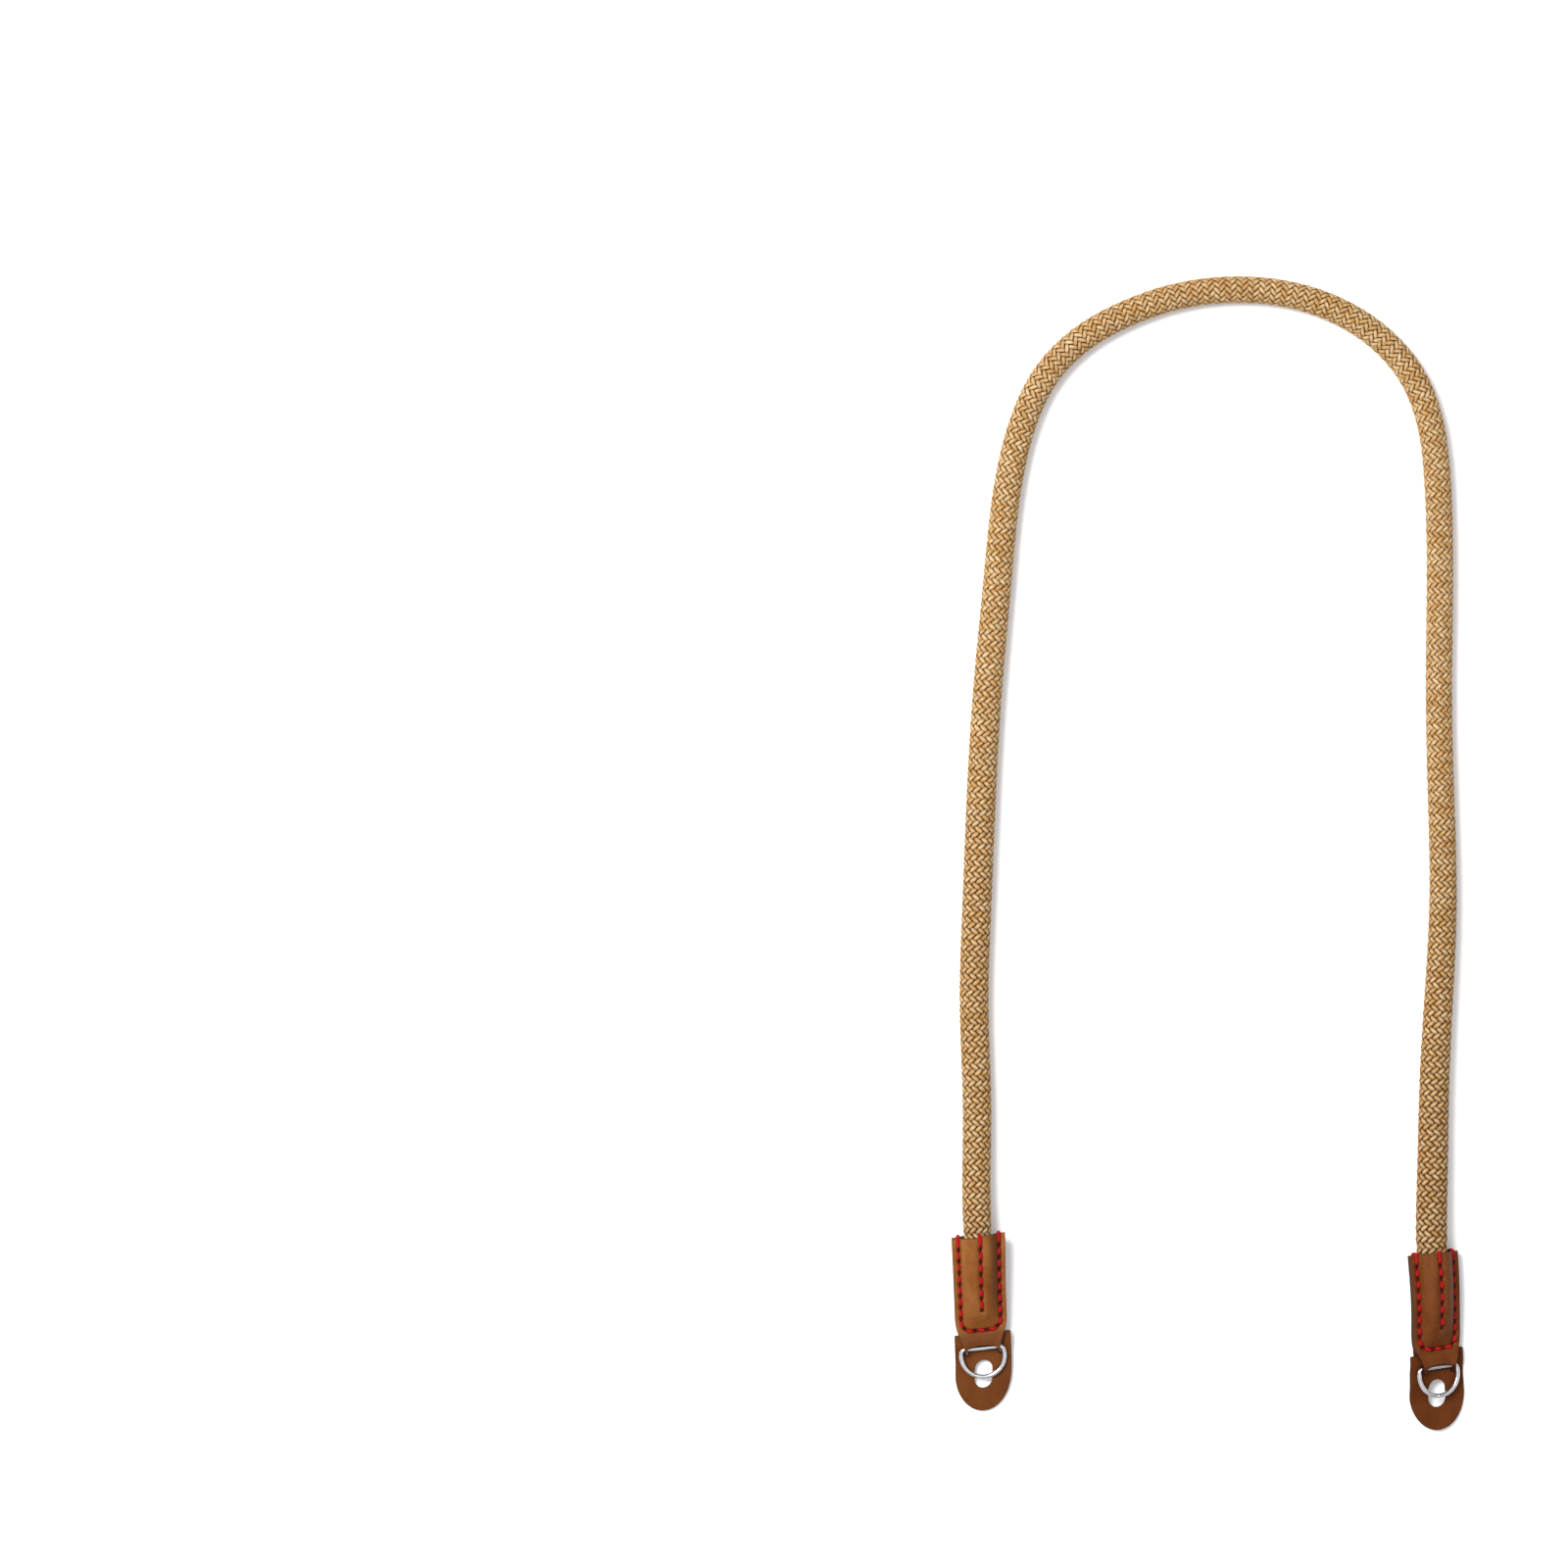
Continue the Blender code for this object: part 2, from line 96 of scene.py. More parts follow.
# How each end lies: the place of its bar's middle, its turn in plan, how far its cross edges are out
# of square, its lean, roll and lift, and the pad's twist and droop below the ring. The arch is how far
# the window's top is past the bar, and the joint is where the ring's wire ends meet. The rest differs
# by wear: how full the rope's tunnel is, the step and slope of the mouth's edge and of the pad's top,
# the middle stitches' places at the mouth and the foot, and the pad's widths and shifts at its foot and
# top. The last two are how much painted shade darkens the neck and one flank of the tunnel.
ENDS = {
    "left": {
        "bar": (-89.3, -6.5),
        "yaw": 2.6,
        "skew": 3.6,
        "pitch": 0.0,
        "roll": 0.0,
        "lift": 1.5,
        "pad_twist": 0.0,
        "pad_droop": 4.7,
        "arch": 1.1,
        "ring_joint": 242.0,
        "tunnel_power": 2.2,
        "mouth_step": 0.7,
        "mouth_slope": 0.0,
        "pad_top_slope": 0.0,
        "middle_stitches": (0.4, 0.4),
        "pad_widths": (1.0, 1.0),
        "pad_shifts": (0.0, 0.45),
        "neck_painted_shade": 0.78,
        "flank_painted_shade": 0.75,
    },
    "right": {
        "bar": (89.9, -14.0),
        "yaw": 5.0,
        "skew": 1.2,
        "pitch": -3.7,
        "roll": 20.0,
        "lift": 3.5,
        "pad_twist": 12.0,
        "pad_droop": 3.7,
        "arch": 0.5,
        "ring_joint": 262.0,
        "tunnel_power": 2.2,
        "mouth_step": 0.0,
        "mouth_slope": -1.0,
        "pad_top_slope": 3.7,
        "middle_stitches": (-0.5, 0.35),
        "pad_widths": (0.98, 1.04),
        "pad_shifts": (1.0, 0.3),
        "neck_painted_shade": 0.05,
        "flank_painted_shade": 0.0,
    },
}
LEATHER = 1.3
LAYER_SPREAD = 0.75
MOUTH = 44.9
SEAM_END = 8.0
SLEEVE_HALF_WIDTH = 10.3
TUNNEL_HALF_WIDTH = 7.3
SLEEVE_OUTLINE = (
    ("along", "half_width"),
    (-3.0, 6.98),
    (0.0, 7.08),
    (1.4, 7.45),
    (2.9, 8.0),
    (5.6, 8.95),
    (7.4, 9.55),
    (9.2, 10.0),
    (11.5, 10.25),
    (15.0, SLEEVE_HALF_WIDTH),
    (MOUTH, SLEEVE_HALF_WIDTH),
)
SEWN_BODY = (
    ("along", "seam_height", "back_tunnel", "front_tunnel"),
    (SEAM_END, 3.6, 0.0, 0.0),
    (10.5, 3.85, 0.85, 1.3),
    (14.0, 4.4, 2.4, 3.2),
    (20.0, 5.63, 4.2, 4.8),
    (28.0, 6.83, 5.4, 5.7),
    (36.0, 7.38, 5.95, 6.05),
    (MOUTH, 7.63, 6.2, 6.2),
)
NECK_LAYERS = (
    ("along", "back_height", "front_height"),
    (-1.0, 0.65, 5.35),
    (0.0, 0.65, 5.35),
    (1.2, 0.65, 5.43),
    (2.4, 0.65, 5.38),
    (4.2, 0.75, 5.08),
    (5.9, 1.15, 4.7),
    (6.8, 1.75, 4.5),
    (SEAM_END, 3.6 - LAYER_SPREAD, 3.6 + LAYER_SPREAD),
)
LIP_RADIUS = 1.5
WINDOW_HALF_WIDTH = 6.3
WINDOW_SPRING = -0.9
WIRE_RADIUS = 0.9
RING_RADIUS = 8.5
RING_DROP = 3.0
RING_CORNER_RADIUS = 1.6
RING_JOINT_GAP = 0.25
BAR_CLEARANCE = 0.25
BAR_HEIGHT = 3.55
RING_LOW = 2.5
WIRE_SIDES = 24
CORNER_STEPS = 11
RIGHT_BOW_STEPS = 69
LEFT_BOW_STEPS = 49
PAD_HALF_WIDTH = 11.2
PAD_TOP = 5.9
PAD_ROUND_START = -10.0
PAD_TIP = -25.3
PAD_FLAT_END = -7.4
PAD_TWIST_START = -3.4
PAD_TWIST_END = -15.4
PAD_HEIGHT = (
    ("along", "height"),
    (PAD_FLAT_END, 0.65),
    (-5.2, 0.68),
    (-3.4, 0.82),
    (-1.6, 1.18),
    (-0.5, 1.52),
    (1.2, 2.17),
    (3.5, 2.5),
    (PAD_TOP, 2.88),
)
SLIT_HALF_WIDTH = 7.3
SLIT_TOP = 1.15
SLIT_FOOT = -2.65
TONGUE_HALF_WIDTH = 6.05
TONGUE_TOP = -1.15
HOLE_CENTRE = -10.6
HOLE_WIDTH = 7.0
HOLE_LENGTH = 11.1

# The braid: twelve strands each way round, each over two and under two, in zigzags along the rope.
STRANDS_EACH_WAY = 12
STRANDS_A_PIECE = 6
CROSSING_PITCH = 2.23
STRAND_WIDTH = 1.72
STRAND_THICKNESS = 1.2
BRAID_RADIUS = 4.8
BRAID_WAVE = 0.6
RINGS_A_CROSSING = 2
STRAND_SIDES = 8
WAVE_SHARPNESS = 1.3
PLY_RUN = 3.8
CORE_RADIUS = 4.5
CORE_RINGS = 320
CORE_SIDES = 16
MOUTH_SQUEEZE = 0.92

# How thick the used rope is and how much darker it is coloured, from 0 inside the left sleeve to 1 inside
# the right one.
ROPE_GIRTH = (
    ("along", "girth"),
    (0.0, 0.96),
    (0.1, 0.98),
    (0.25, 1.0),
    (0.36, 0.95),
    (0.5, 0.9),
    (0.62, 0.91),
    (0.72, 0.9),
    (0.8, 0.92),
    (0.86, 0.98),
    (0.95, 1.05),
    (1.0, 1.07),
)
ROPE_DARKENING = (
    ("along", "soil"),
    (0.0, 0.3),
    (0.05, 0.23),
    (0.11, 0.2),
    (0.2, 0.19),
    (0.25, 0.14),
    (0.3, 0.09),
    (0.45, 0.05),
    (0.67, 0.0),
    (0.77, 0.04),
    (0.82, 0.14),
    (0.87, 0.22),
    (0.92, 0.3),
    (1.0, 0.38),
)

# The leather's cut edges and the grids that let it bend.
EDGE_ROUND = 0.3
GRID_STEP = 0.5
PAD_GRID_STEP = 0.6

# How the sleeve's leather gives: the valley that the middle stitches pull, the dip of the fold's front
# behind the window, and the widening and the shaped edge of the mouth.
VALLEY_DEPTH = 0.95
VALLEY_WIDTH = 1.35
FOLD_DIP = 0.47
FOLD_DIP_ENDS = (6.2, 4.6)
MOUTH_EDGE_LENGTH = 9.0
MOUTH_FLARE = 0.03
MOUTH_FLARE_LENGTH = 24.0

# Where painted shade darkens the sleeve's leather: along one flank of the tunnel, on the neck and at the
# fold.
FLANK = 5.6
FLANK_WIDTH = 1.9
FLANK_FADE = (13.0, 24.0)
NECK_FADE = (9.5, 4.0)
FOLD_FADE = (1.4, -0.6)
FOLD_PAINTED_SHADE = 0.9

# The stitching: a line down one side, round the bottom and up the other side, and one down the middle.
STITCH_LINE = 7.8
STITCH_CORNER = 4.2
STITCH_FOOT = 7.2
SIDE_STITCHES = 19
MIDDLE_STITCHES = 6
MIDDLE_STITCH_END = 15.6
NEEDLE_HOLE = 0.9
NEEDLE_HOLE_DEPTH = 0.6
STITCH_GROOVE = 0.9
STITCH_GROOVE_DEPTH = 0.25
STITCH_POINTS = 17
PLY_RADIUS = 0.43
PLIES = 3
PLY_LAY = 0.43
THREAD_TWIST = 3.0
THREAD_SIDES = 6
THREAD_PROUD = 0.22
BACK_THREAD_PROUD = 0.05
THREAD_SUNK = 1.0
THREAD_RISE = (0.14, 0.38)
SIDE_WRAP = 0.35
MIDDLE_WRAP = 0.45
THREAD_TAIL = 1.6
TAIL_POINTS = 6

# The table, the light and the camera straight above, all in metres.
TABLE_PLACE = (-0.168, 0.217, -0.0002)
KEY_PLACE = (-0.8405, 0.7205, 1.68)
KEY_AIM = (-0.0005, 0.2005, 0.0)
CAMERA_PLACE = (-0.1678, 0.2170, 1.8)


# Curves and tables.

def column(table, name):
    index = table[0].index(name)
    return np.array([row[index] for row in table[1:]], float)


def smooth_curve(knots, values):
    """A function that follows a natural cubic spline through rows of values at the knots."""
    step = np.diff(knots)
    count = len(knots)
    system = np.eye(count)
    right = np.zeros_like(values)
    for i in range(1, count - 1):
        system[i, i - 1] = step[i - 1]
        system[i, i] = 2.0 * (step[i - 1] + step[i])
        system[i, i + 1] = step[i]
        slope_before = (values[i] - values[i - 1]) / step[i - 1]
        slope_after = (values[i + 1] - values[i]) / step[i]
        right[i] = 6.0 * (slope_after - slope_before)
    bend = np.linalg.solve(system, right)

    def at(where):
        where = np.clip(where, knots[0], knots[-1])
        i = np.clip(np.searchsorted(knots, where, side="right") - 1, 0, count - 2)
        width = step[i][:, None]
        before = (knots[i + 1] - where)[:, None] / width
        after = (where - knots[i])[:, None] / width
        curl = (before**3 - before) * bend[i] + (after**3 - after) * bend[i + 1]
        return before * values[i] + after * values[i + 1] + curl * width**2 / 6.0

    return at


def profile(table, name):
    """A smooth function, for arrays of places along a piece, through a table's named column."""
    curve = smooth_curve(column(table, "along"), column(table, name)[:, None])
    return lambda along: curve(np.atleast_1d(along).ravel())[:, 0].reshape(np.shape(along))


def arc(centre, radius, start, end, step=6.0):
    """Points on an arc between two angles in degrees, with both of its ends."""
    count = max(2, math.ceil(abs(end - start) / step) + 1)
    return [
        (centre[0] + radius * math.cos(angle), centre[1] + radius * math.sin(angle))
        for angle in np.radians(np.linspace(start, end, count))
    ]


def ease(low, high, value):
    """0 below low, 1 above high, and a smooth step between them."""
    part = np.clip((value - low) / (high - low), 0.0, 1.0)
    return part * part * (3.0 - 2.0 * part)


def unit(vectors):
    return vectors / np.linalg.norm(vectors, axis=-1, keepdims=True)


def distances_along(points):
    return np.r_[0.0, np.cumsum(np.linalg.norm(np.diff(points, axis=0), axis=1))]


def end_matrix(end):
    """From an end's own frame to the world, both in millimetres."""
    place = Matrix.Translation((*end["bar"], end["lift"]))
    turn = Matrix.Rotation(math.radians(end["yaw"]), 4, "Z")
    lean = Matrix.Rotation(math.radians(end["pitch"]), 4, "X")
    roll = Matrix.Rotation(math.radians(end["roll"]), 4, "Y")
    return np.array(place @ turn @ lean @ roll)


def moved(points, matrix):
    return points @ matrix[:3, :3].T + matrix[:3, 3]


# Materials.

class Shade:
    """A socket of a material, which takes part in sums as a number does."""

    def __init__(self, finish, socket):
        self.finish = finish
        self.socket = socket

    def sum(self, operation, *values):
        return self.finish.node("ShaderNodeMath", {"operation": operation}, values)

    def __add__(self, other):
        return self.sum("ADD", self, other)

    __radd__ = __add__

    def __sub__(self, other):
        return self.sum("SUBTRACT", self, other)

    def __rsub__(self, other):
        return self.sum("SUBTRACT", other, self)

    def __mul__(self, other):
        return self.sum("MULTIPLY", self, other)

    __rmul__ = __mul__

    def between(self, low, high):
        """0 at or below low and 1 at or above high."""
        settings = {"interpolation_type": "SMOOTHSTEP"}
        return self.finish.node("ShaderNodeMapRange", settings, [self, low, high, 0.0, 1.0])

    def wave(self):
        """From 0 to 1 and back for each whole step of the value."""
        return self.sum("COSINE", self * (2.0 * math.pi)) * 0.5 + 0.5


class Finish:
    """A material, its Principled shader and the nodes that feed it."""

    def __init__(self, name, **constants):
        self.material = bpy.data.materials.new(name)
        self.material.use_nodes = True
        self.tree = self.material.node_tree
        self.shader = self.tree.nodes["Principled BSDF"]
        for socket, value in constants.items():
            self.shader.inputs[socket.replace("_", " ")].default_value = value

    def node(self, kind, settings=None, sockets=(), output=0):
        """A node of that kind, with its settings made first, as one of its outputs."""
        made = self.tree.nodes.new(kind)
        for name, value in (settings or {}).items():
            setattr(made, name, value)
        named = sockets.items() if isinstance(sockets, dict) else enumerate(sockets)
        for key, value in named:
            self.feed(made.inputs[key], value)
        return Shade(self, made.outputs[output])

    def feed(self, socket, value):
        if isinstance(value, Shade):
            self.tree.links.new(value.socket, socket)
        else:
            socket.default_value = value

    def place(self):
        """The place on the piece, in metres."""
        return self.node("ShaderNodeTexCoord", output="Object")

    def attribute(self, name):
        return self.node("ShaderNodeAttribute", {"attribute_name": name}, output="Fac")

    def parts(self, vector, count):
        """The first numbers of a vector."""
        split = self.node("ShaderNodeSeparateXYZ", None, [vector]).socket.node
        return [Shade(self, socket) for socket in split.outputs[:count]]

    def noise(self, where, scale, detail=3.0, roughness=0.55):
        """Soft random clouds, as many to the metre as the scale says."""
        sockets = {"Vector": where, "Scale": scale, "Detail": detail, "Roughness": roughness}
        return self.node("ShaderNodeTexNoise", None, sockets)

    def blend(self, factor, first, second):
        """From the first colour to the second as the factor goes from 0 to 1."""
        first, second = (c if isinstance(c, Shade) else (*c, 1.0) for c in (first, second))
        sockets = {0: factor, 6: first, 7: second}
        return self.node("ShaderNodeMix", {"data_type": "RGBA"}, sockets, output=2)

    def bump(self, height, depth, strength=1.0):
        """Relief of that depth in metres on the shader's normal."""
        sockets = {"Height": height, "Distance": depth, "Strength": strength}
        normal = self.node("ShaderNodeBump", None, sockets)
        self.feed(self.shader.inputs["Normal"], normal)

    def colour(self, value):
        self.feed(self.shader.inputs["Base Color"], value)

    def roughness(self, value):
        self.feed(self.shader.inputs["Roughness"], value)


def braided_cotton():
    """Golden strands of many plies, with painted shade where they dip under each other, on their sides and
    between their plies.
    """
    finish = Finish(
        "braided_cotton",
        Sheen_Weight=0.04,
        Sheen_Roughness=0.45,
        Sheen_Tint=(1.0, 0.8, 0.5, 1.0),
        Specular_IOR_Level=0.08,
    )
    where = finish.place()
    # The strands' painted light and shade from the crest, lowered by the darkening towards the rope's
    # ends.
    brightness = finish.attribute("crest") - finish.attribute("soil") * 0.62
    strand = finish.node("ShaderNodeUVMap", {"uv_map": "strand"})
    u, v = finish.parts(strand, 2)
    plies = (u * 0.16 + v * 8.0).wave()
    cloud = finish.noise(where, 90.0, 2.0)
    patch = finish.noise(where, 420.0, 1.0)
    fleck = finish.noise(where, 2200.0, 3.0)
    tone = (patch * 0.75 + cloud * 0.25).between(0.36, 0.64)
    light = finish.blend(tone, (0.63, 0.364, 0.134), (0.83, 0.615, 0.34))
    tinted = finish.blend(finish.attribute("tint") * 0.3, light, (0.4, 0.22, 0.082))
    # Painted shade in the grooves between the plies, with random flecks.
    ply_shaded_and_flecked = finish.blend((1.0 - plies) * 0.36 + fleck * 0.1, tinted, (0.21, 0.076, 0.009))
    # Painted shade: the strands turn dark brown where they dip under and on their sides.
    finish.colour(finish.blend(brightness.between(0.24, 0.86), (0.075, 0.02, 0.001), ply_shaded_and_flecked))
    finish.roughness(0.6 + fleck * 0.25)
    finish.bump(plies + fleck * 0.35, 0.00022)
    return finish.material


def core_cotton():
    """The rope's core, coloured dark as painted shade in the small gaps of the braid."""
    finish = Finish("core_cotton", Specular_IOR_Level=0.15)
    fleck = finish.noise(finish.place(), 900.0)
    # Painted shade: the core is dark so that the braid's gaps look shaded.
    finish.colour(finish.blend(fleck, (0.04, 0.014, 0.004), (0.08, 0.032, 0.009)))
    finish.roughness(0.85 + fleck * 0.1)
    finish.bump(fleck, 0.0002)
    return finish.material


def smooth_leather(name, face, dark):
    """Tanned leather: long clouds of colour, a fine grain, burnished cut edges, and painted shade on the
    sleeve's flank, neck and fold and in the needle holes.
    """
    finish = Finish(name, Specular_IOR_Level=0.1)
    where = finish.place()
    edge = finish.attribute("edge")
    hole = finish.attribute("hole")
    wear_and_painted_shade = finish.attribute("wear_and_painted_shade")
    stretched = finish.node(
        "ShaderNodeVectorMath", {"operation": "MULTIPLY"}, [where, (1.0, 0.3, 1.0)]
    )
    streak = finish.noise(stretched, 210.0, 3.0)
    cloud = finish.noise(where, 75.0, 3.0)
    mottle = finish.noise(where, 900.0, 4.0)
    cell = finish.node(
        "ShaderNodeTexVoronoi",
        {"feature": "SMOOTH_F1"},
        {"Vector": where, "Scale": 2300.0, "Smoothness": 0.7, "Randomness": 1.0},
    )
    pore = finish.noise(where, 6000.0, 2.0)
    tone = (streak * 0.45 + cloud * 0.35 + mottle * 0.2).between(0.3, 0.7)
    # Painted shade: darker on the shaded flank, neck and fold.
    body = finish.blend(wear_and_painted_shade, finish.blend(tone, dark, face), tuple(0.55 * c for c in dark))
    creased = finish.blend(cell.between(0.45, 0.85) * 0.16, body, tuple(0.4 * c for c in dark))
    burnished = finish.blend(edge.between(0.1, 0.9), creased, (0.026, 0.007, 0.003))
    # Painted shade in the needle holes.
    finish.colour(finish.blend(hole.between(0.15, 0.75), burnished, (0.03, 0.004, 0.002)))
    finish.roughness((0.46 + mottle * 0.14 + cell * 0.1) * (1.0 - edge * 0.2))
    finish.bump(pore * 0.2 - cell * 0.7 + mottle * 0.35, 0.00006)
    return finish.material


def plated_steel():
    """Bright plating with faint wear along the wire."""
    finish = Finish("plated_steel", Metallic=1.0, Specular_IOR_Level=0.5)
    where = finish.place()
    haze = finish.noise(where, 500.0, 3.0)
    scuff = finish.noise(where, 3600.0, 2.0)
    finish.colour(finish.blend(haze.between(0.35, 0.75), (0.78, 0.78, 0.80), (0.64, 0.64, 0.67)))
    finish.roughness(0.1 + haze.between(0.4, 0.8) * 0.1)
    finish.bump(scuff, 0.000012)
    return finish.material


def waxed_thread():
    """Thick red thread of twisted plies, with painted shade where it sinks into the needle holes."""
    finish = Finish("waxed_thread", Specular_IOR_Level=0.12)
    where = finish.place()
    fleck = finish.noise(where, 3000.0, 2.0)
    depth = finish.attribute("depth")
    red = finish.blend(fleck, (0.25, 0.003, 0.004), (0.37, 0.006, 0.007))
    # Painted shade: nearly black where the thread sinks into a needle hole.
    finish.colour(finish.blend(depth.between(0.02, 0.45), red, (0.06, 0.0015, 0.001)))
    finish.roughness(0.45 + fleck * 0.2)
    finish.bump(fleck, 0.00004)
    return finish.material


def pale_table():
    finish = Finish("pale_table", Specular_IOR_Level=0.2, Emission_Strength=0.09)
    finish.shader.inputs["Emission Color"].default_value = (1.0, 1.0, 1.0, 1.0)
    haze = finish.noise(finish.place(), 6.0, 2.0)
    finish.colour(finish.blend(haze, (0.90, 0.90, 0.91), (0.93, 0.93, 0.93)))
    finish.roughness(0.7 + haze * 0.1)
    finish.bump(finish.noise(finish.place(), 900.0), 0.00002)
    return finish.material


# Meshes.

def deselect():
    if bpy.context.mode != "OBJECT":
        bpy.ops.object.mode_set(mode="OBJECT")
    bpy.ops.object.select_all(action="DESELECT")


def make_active(obj):
    deselect()
    obj.select_set(True)
    bpy.context.view_layer.objects.active = obj


def finished(obj, material, body, slot, *nodes):
    """Gives a piece its finish and smooth faces, puts it on the body it rides on and hides the CAD nodes
    it stands for.
    """
    obj.data.materials.clear()
    obj.data.materials.append(material)
    for face in obj.data.polygons:
        face.use_smooth = True
    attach(obj, body)
    if nodes:
        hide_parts(*nodes)
    return obj


class Skins:
    """Closed skins through rings of points, gathered into one mesh."""

    def __init__(self):
        self.points = []
        self.faces = []
        self.uvs = []
        self.values = {}
        self.count = 0

    def add(self, rings, along, **values):
        """One skin, of shape (rings, sides, 3), capped at both ends, and its values at each point."""
        steps, sides = rings.shape[:2]
        index = np.arange(steps * sides).reshape(steps, sides) + self.count
        after = np.roll(index, -1, axis=1)
        walls = np.stack([index[:-1], index[1:], after[1:], after[:-1]], axis=-1).reshape(-1, 4)
        self.faces += walls.tolist()
        self.faces.append(index[0].tolist())
        self.faces.append(index[-1][::-1].tolist())
        turn = np.arange(sides) / sides
        u = np.repeat(along[:, None], sides, axis=1)
        u = np.stack([u[:-1], u[1:], u[1:], u[:-1]], axis=-1)
        v = np.broadcast_to(turn, (steps - 1, sides))
        v = np.stack([v, v, v + 1.0 / sides, v + 1.0 / sides], axis=-1)
        self.uvs.append(np.stack([u, v], axis=-1).reshape(-1, 2))
        self.uvs.append(np.column_stack([np.full(sides, along[0]), turn]))
        self.uvs.append(np.column_stack([np.full(sides, along[-1]), turn[::-1]]))
        self.points.append(rings.reshape(-1, 3))
        for name, value in values.items():
            spread = np.broadcast_to(value, (steps, sides)).reshape(-1)
            self.values.setdefault(name, []).append(spread)
        self.count += steps * sides

    def mesh(self, name):
        mesh = bpy.data.meshes.new(name)
        mesh.from_pydata((np.concatenate(self.points) * MM).tolist(), [], self.faces)
        layer = mesh.uv_layers.new(name="strand")
        layer.data.foreach_set("uv", np.concatenate(self.uvs).ravel())
        for label, parts in self.values.items():
            attribute = mesh.attributes.new(label, "FLOAT", "POINT")
            attribute.data.foreach_set("value", np.concatenate(parts))
        mesh.validate()
        obj = bpy.data.objects.new(name, mesh)
        bpy.context.scene.collection.objects.link(obj)
        return obj


def tube(points, outward, radius, sides, squeeze=1.0):
    """Rings round a line of points, where outward is a direction across the line at each point."""
    tangent = unit(np.gradient(points, axis=0))
    across = unit(np.cross(tangent, outward))
    outward = np.cross(across, tangent) * np.broadcast_to(squeeze, len(points))[:, None]
    angle = np.arange(sides) * 2.0 * math.pi / sides
    reach = np.broadcast_to(radius, len(points))[:, None, None]
    ring = np.cos(angle)[:, None] * across[:, None] + np.sin(angle)[:, None] * outward[:, None]
    return points[:, None] + reach * ring


# The rope.

class RopeLine:
    """The rope's middle line, by the distance along it, with the directions across it and up."""

    def __init__(self):
        route = np.column_stack([column(ROUTE, axis) for axis in "xyz"])
        knots = distances_along(route)
        self.points = smooth_curve(knots, route)(np.linspace(0.0, knots[-1], 8000))
        self.along = distances_along(self.points)
        self.length = self.along[-1]
        self.points[:, 2] += ROPE_RADIUS * (self.girth(self.along) - 1.0)
        tangent = unit(np.gradient(self.points, axis=0))
        self.across = unit(np.cross(tangent, (0.0, 0.0, 1.0)))
        self.up = np.cross(self.across, tangent)

    def read(self, rows, distance):
        return np.column_stack([np.interp(distance, self.along, rows[:, i]) for i in range(3)])

    def hidden(self, distance):
        """How far past the nearer mouth a place is, inside its sleeve."""
        return ROPE_HIDDEN - np.minimum(distance, self.length - distance)

    def girth(self, distance):
        """How much thicker or thinner than the rest the worn rope is."""
        wear_and_painted_shade = profile(ROPE_GIRTH, "girth")(distance / self.length)
        return 1.0 + (wear_and_painted_shade - 1.0) * ease(12.0, 0.0, self.hidden(distance))

    def radius(self, distance):
        past_mouth, radius = column(ROPE_TAPER, "past_mouth"), column(ROPE_TAPER, "radius")
        return np.interp(self.hidden(distance), past_mouth, radius) * self.girth(distance)

    def squeeze(self, distance):
        """How far the sleeves press the rope flat."""
        return 1.0 - (1.0 - MOUTH_SQUEEZE) * ease(-8.0, -0.5, self.hidden(distance))

    def outward(self, distance, angle):
        across = np.cos(angle)[:, None] * self.read(self.across, distance)
        up = (np.sin(angle) * self.squeeze(distance))[:, None] * self.read(self.up, distance)
        return across + up


def add_strand(skins, line, index, way, tint):
    """One strand, which winds one way round and waves over two and under two of the others."""
    count = int(line.length / CROSSING_PITCH * 2 * RINGS_A_CROSSING)
    distance = np.linspace(0.0, line.length, count + 1)
    turns = distance / CROSSING_PITCH
    angle = 2.0 * math.pi * (index + way * turns) / STRANDS_EACH_WAY
    wave = way * np.cos(math.pi * (turns - 0.25))
    wave = np.tanh(WAVE_SHARPNESS * wave) / math.tanh(WAVE_SHARPNESS)
    size = line.radius(distance) / ROPE_RADIUS
    outward = line.outward(distance, angle)
    reach = size * (BRAID_RADIUS + BRAID_WAVE * wave)
    middle = line.read(line.points, distance) + reach[:, None] * outward
    tangent = unit(np.gradient(middle, axis=0))
    across = unit(np.cross(tangent, outward))
    lift = np.cross(across, tangent)
    turn = np.arange(STRAND_SIDES) * 2.0 * math.pi / STRAND_SIDES
    width = 0.5 * STRAND_WIDTH * size * (0.95 + 0.05 * wave)
    thickness = 0.5 * STRAND_THICKNESS * size
    rings = (
        middle[:, None]
        + (width[:, None] * np.cos(turn))[..., None] * across[:, None]
        + (thickness[:, None] * np.sin(turn))[..., None] * lift[:, None]
    )
    # Painted shade: dark where the strand dips under the others and on its sides, lightest on its top.
    lying_over = 0.55 + 0.45 * wave[:, None]
    crest = lying_over * (0.4 + 0.6 * np.sin(turn))
    soil = profile(ROPE_DARKENING, "soil")(distance / line.length)
    skins.add(rings, turns * PLY_RUN, crest=crest, tint=tint, soil=soil[:, None])


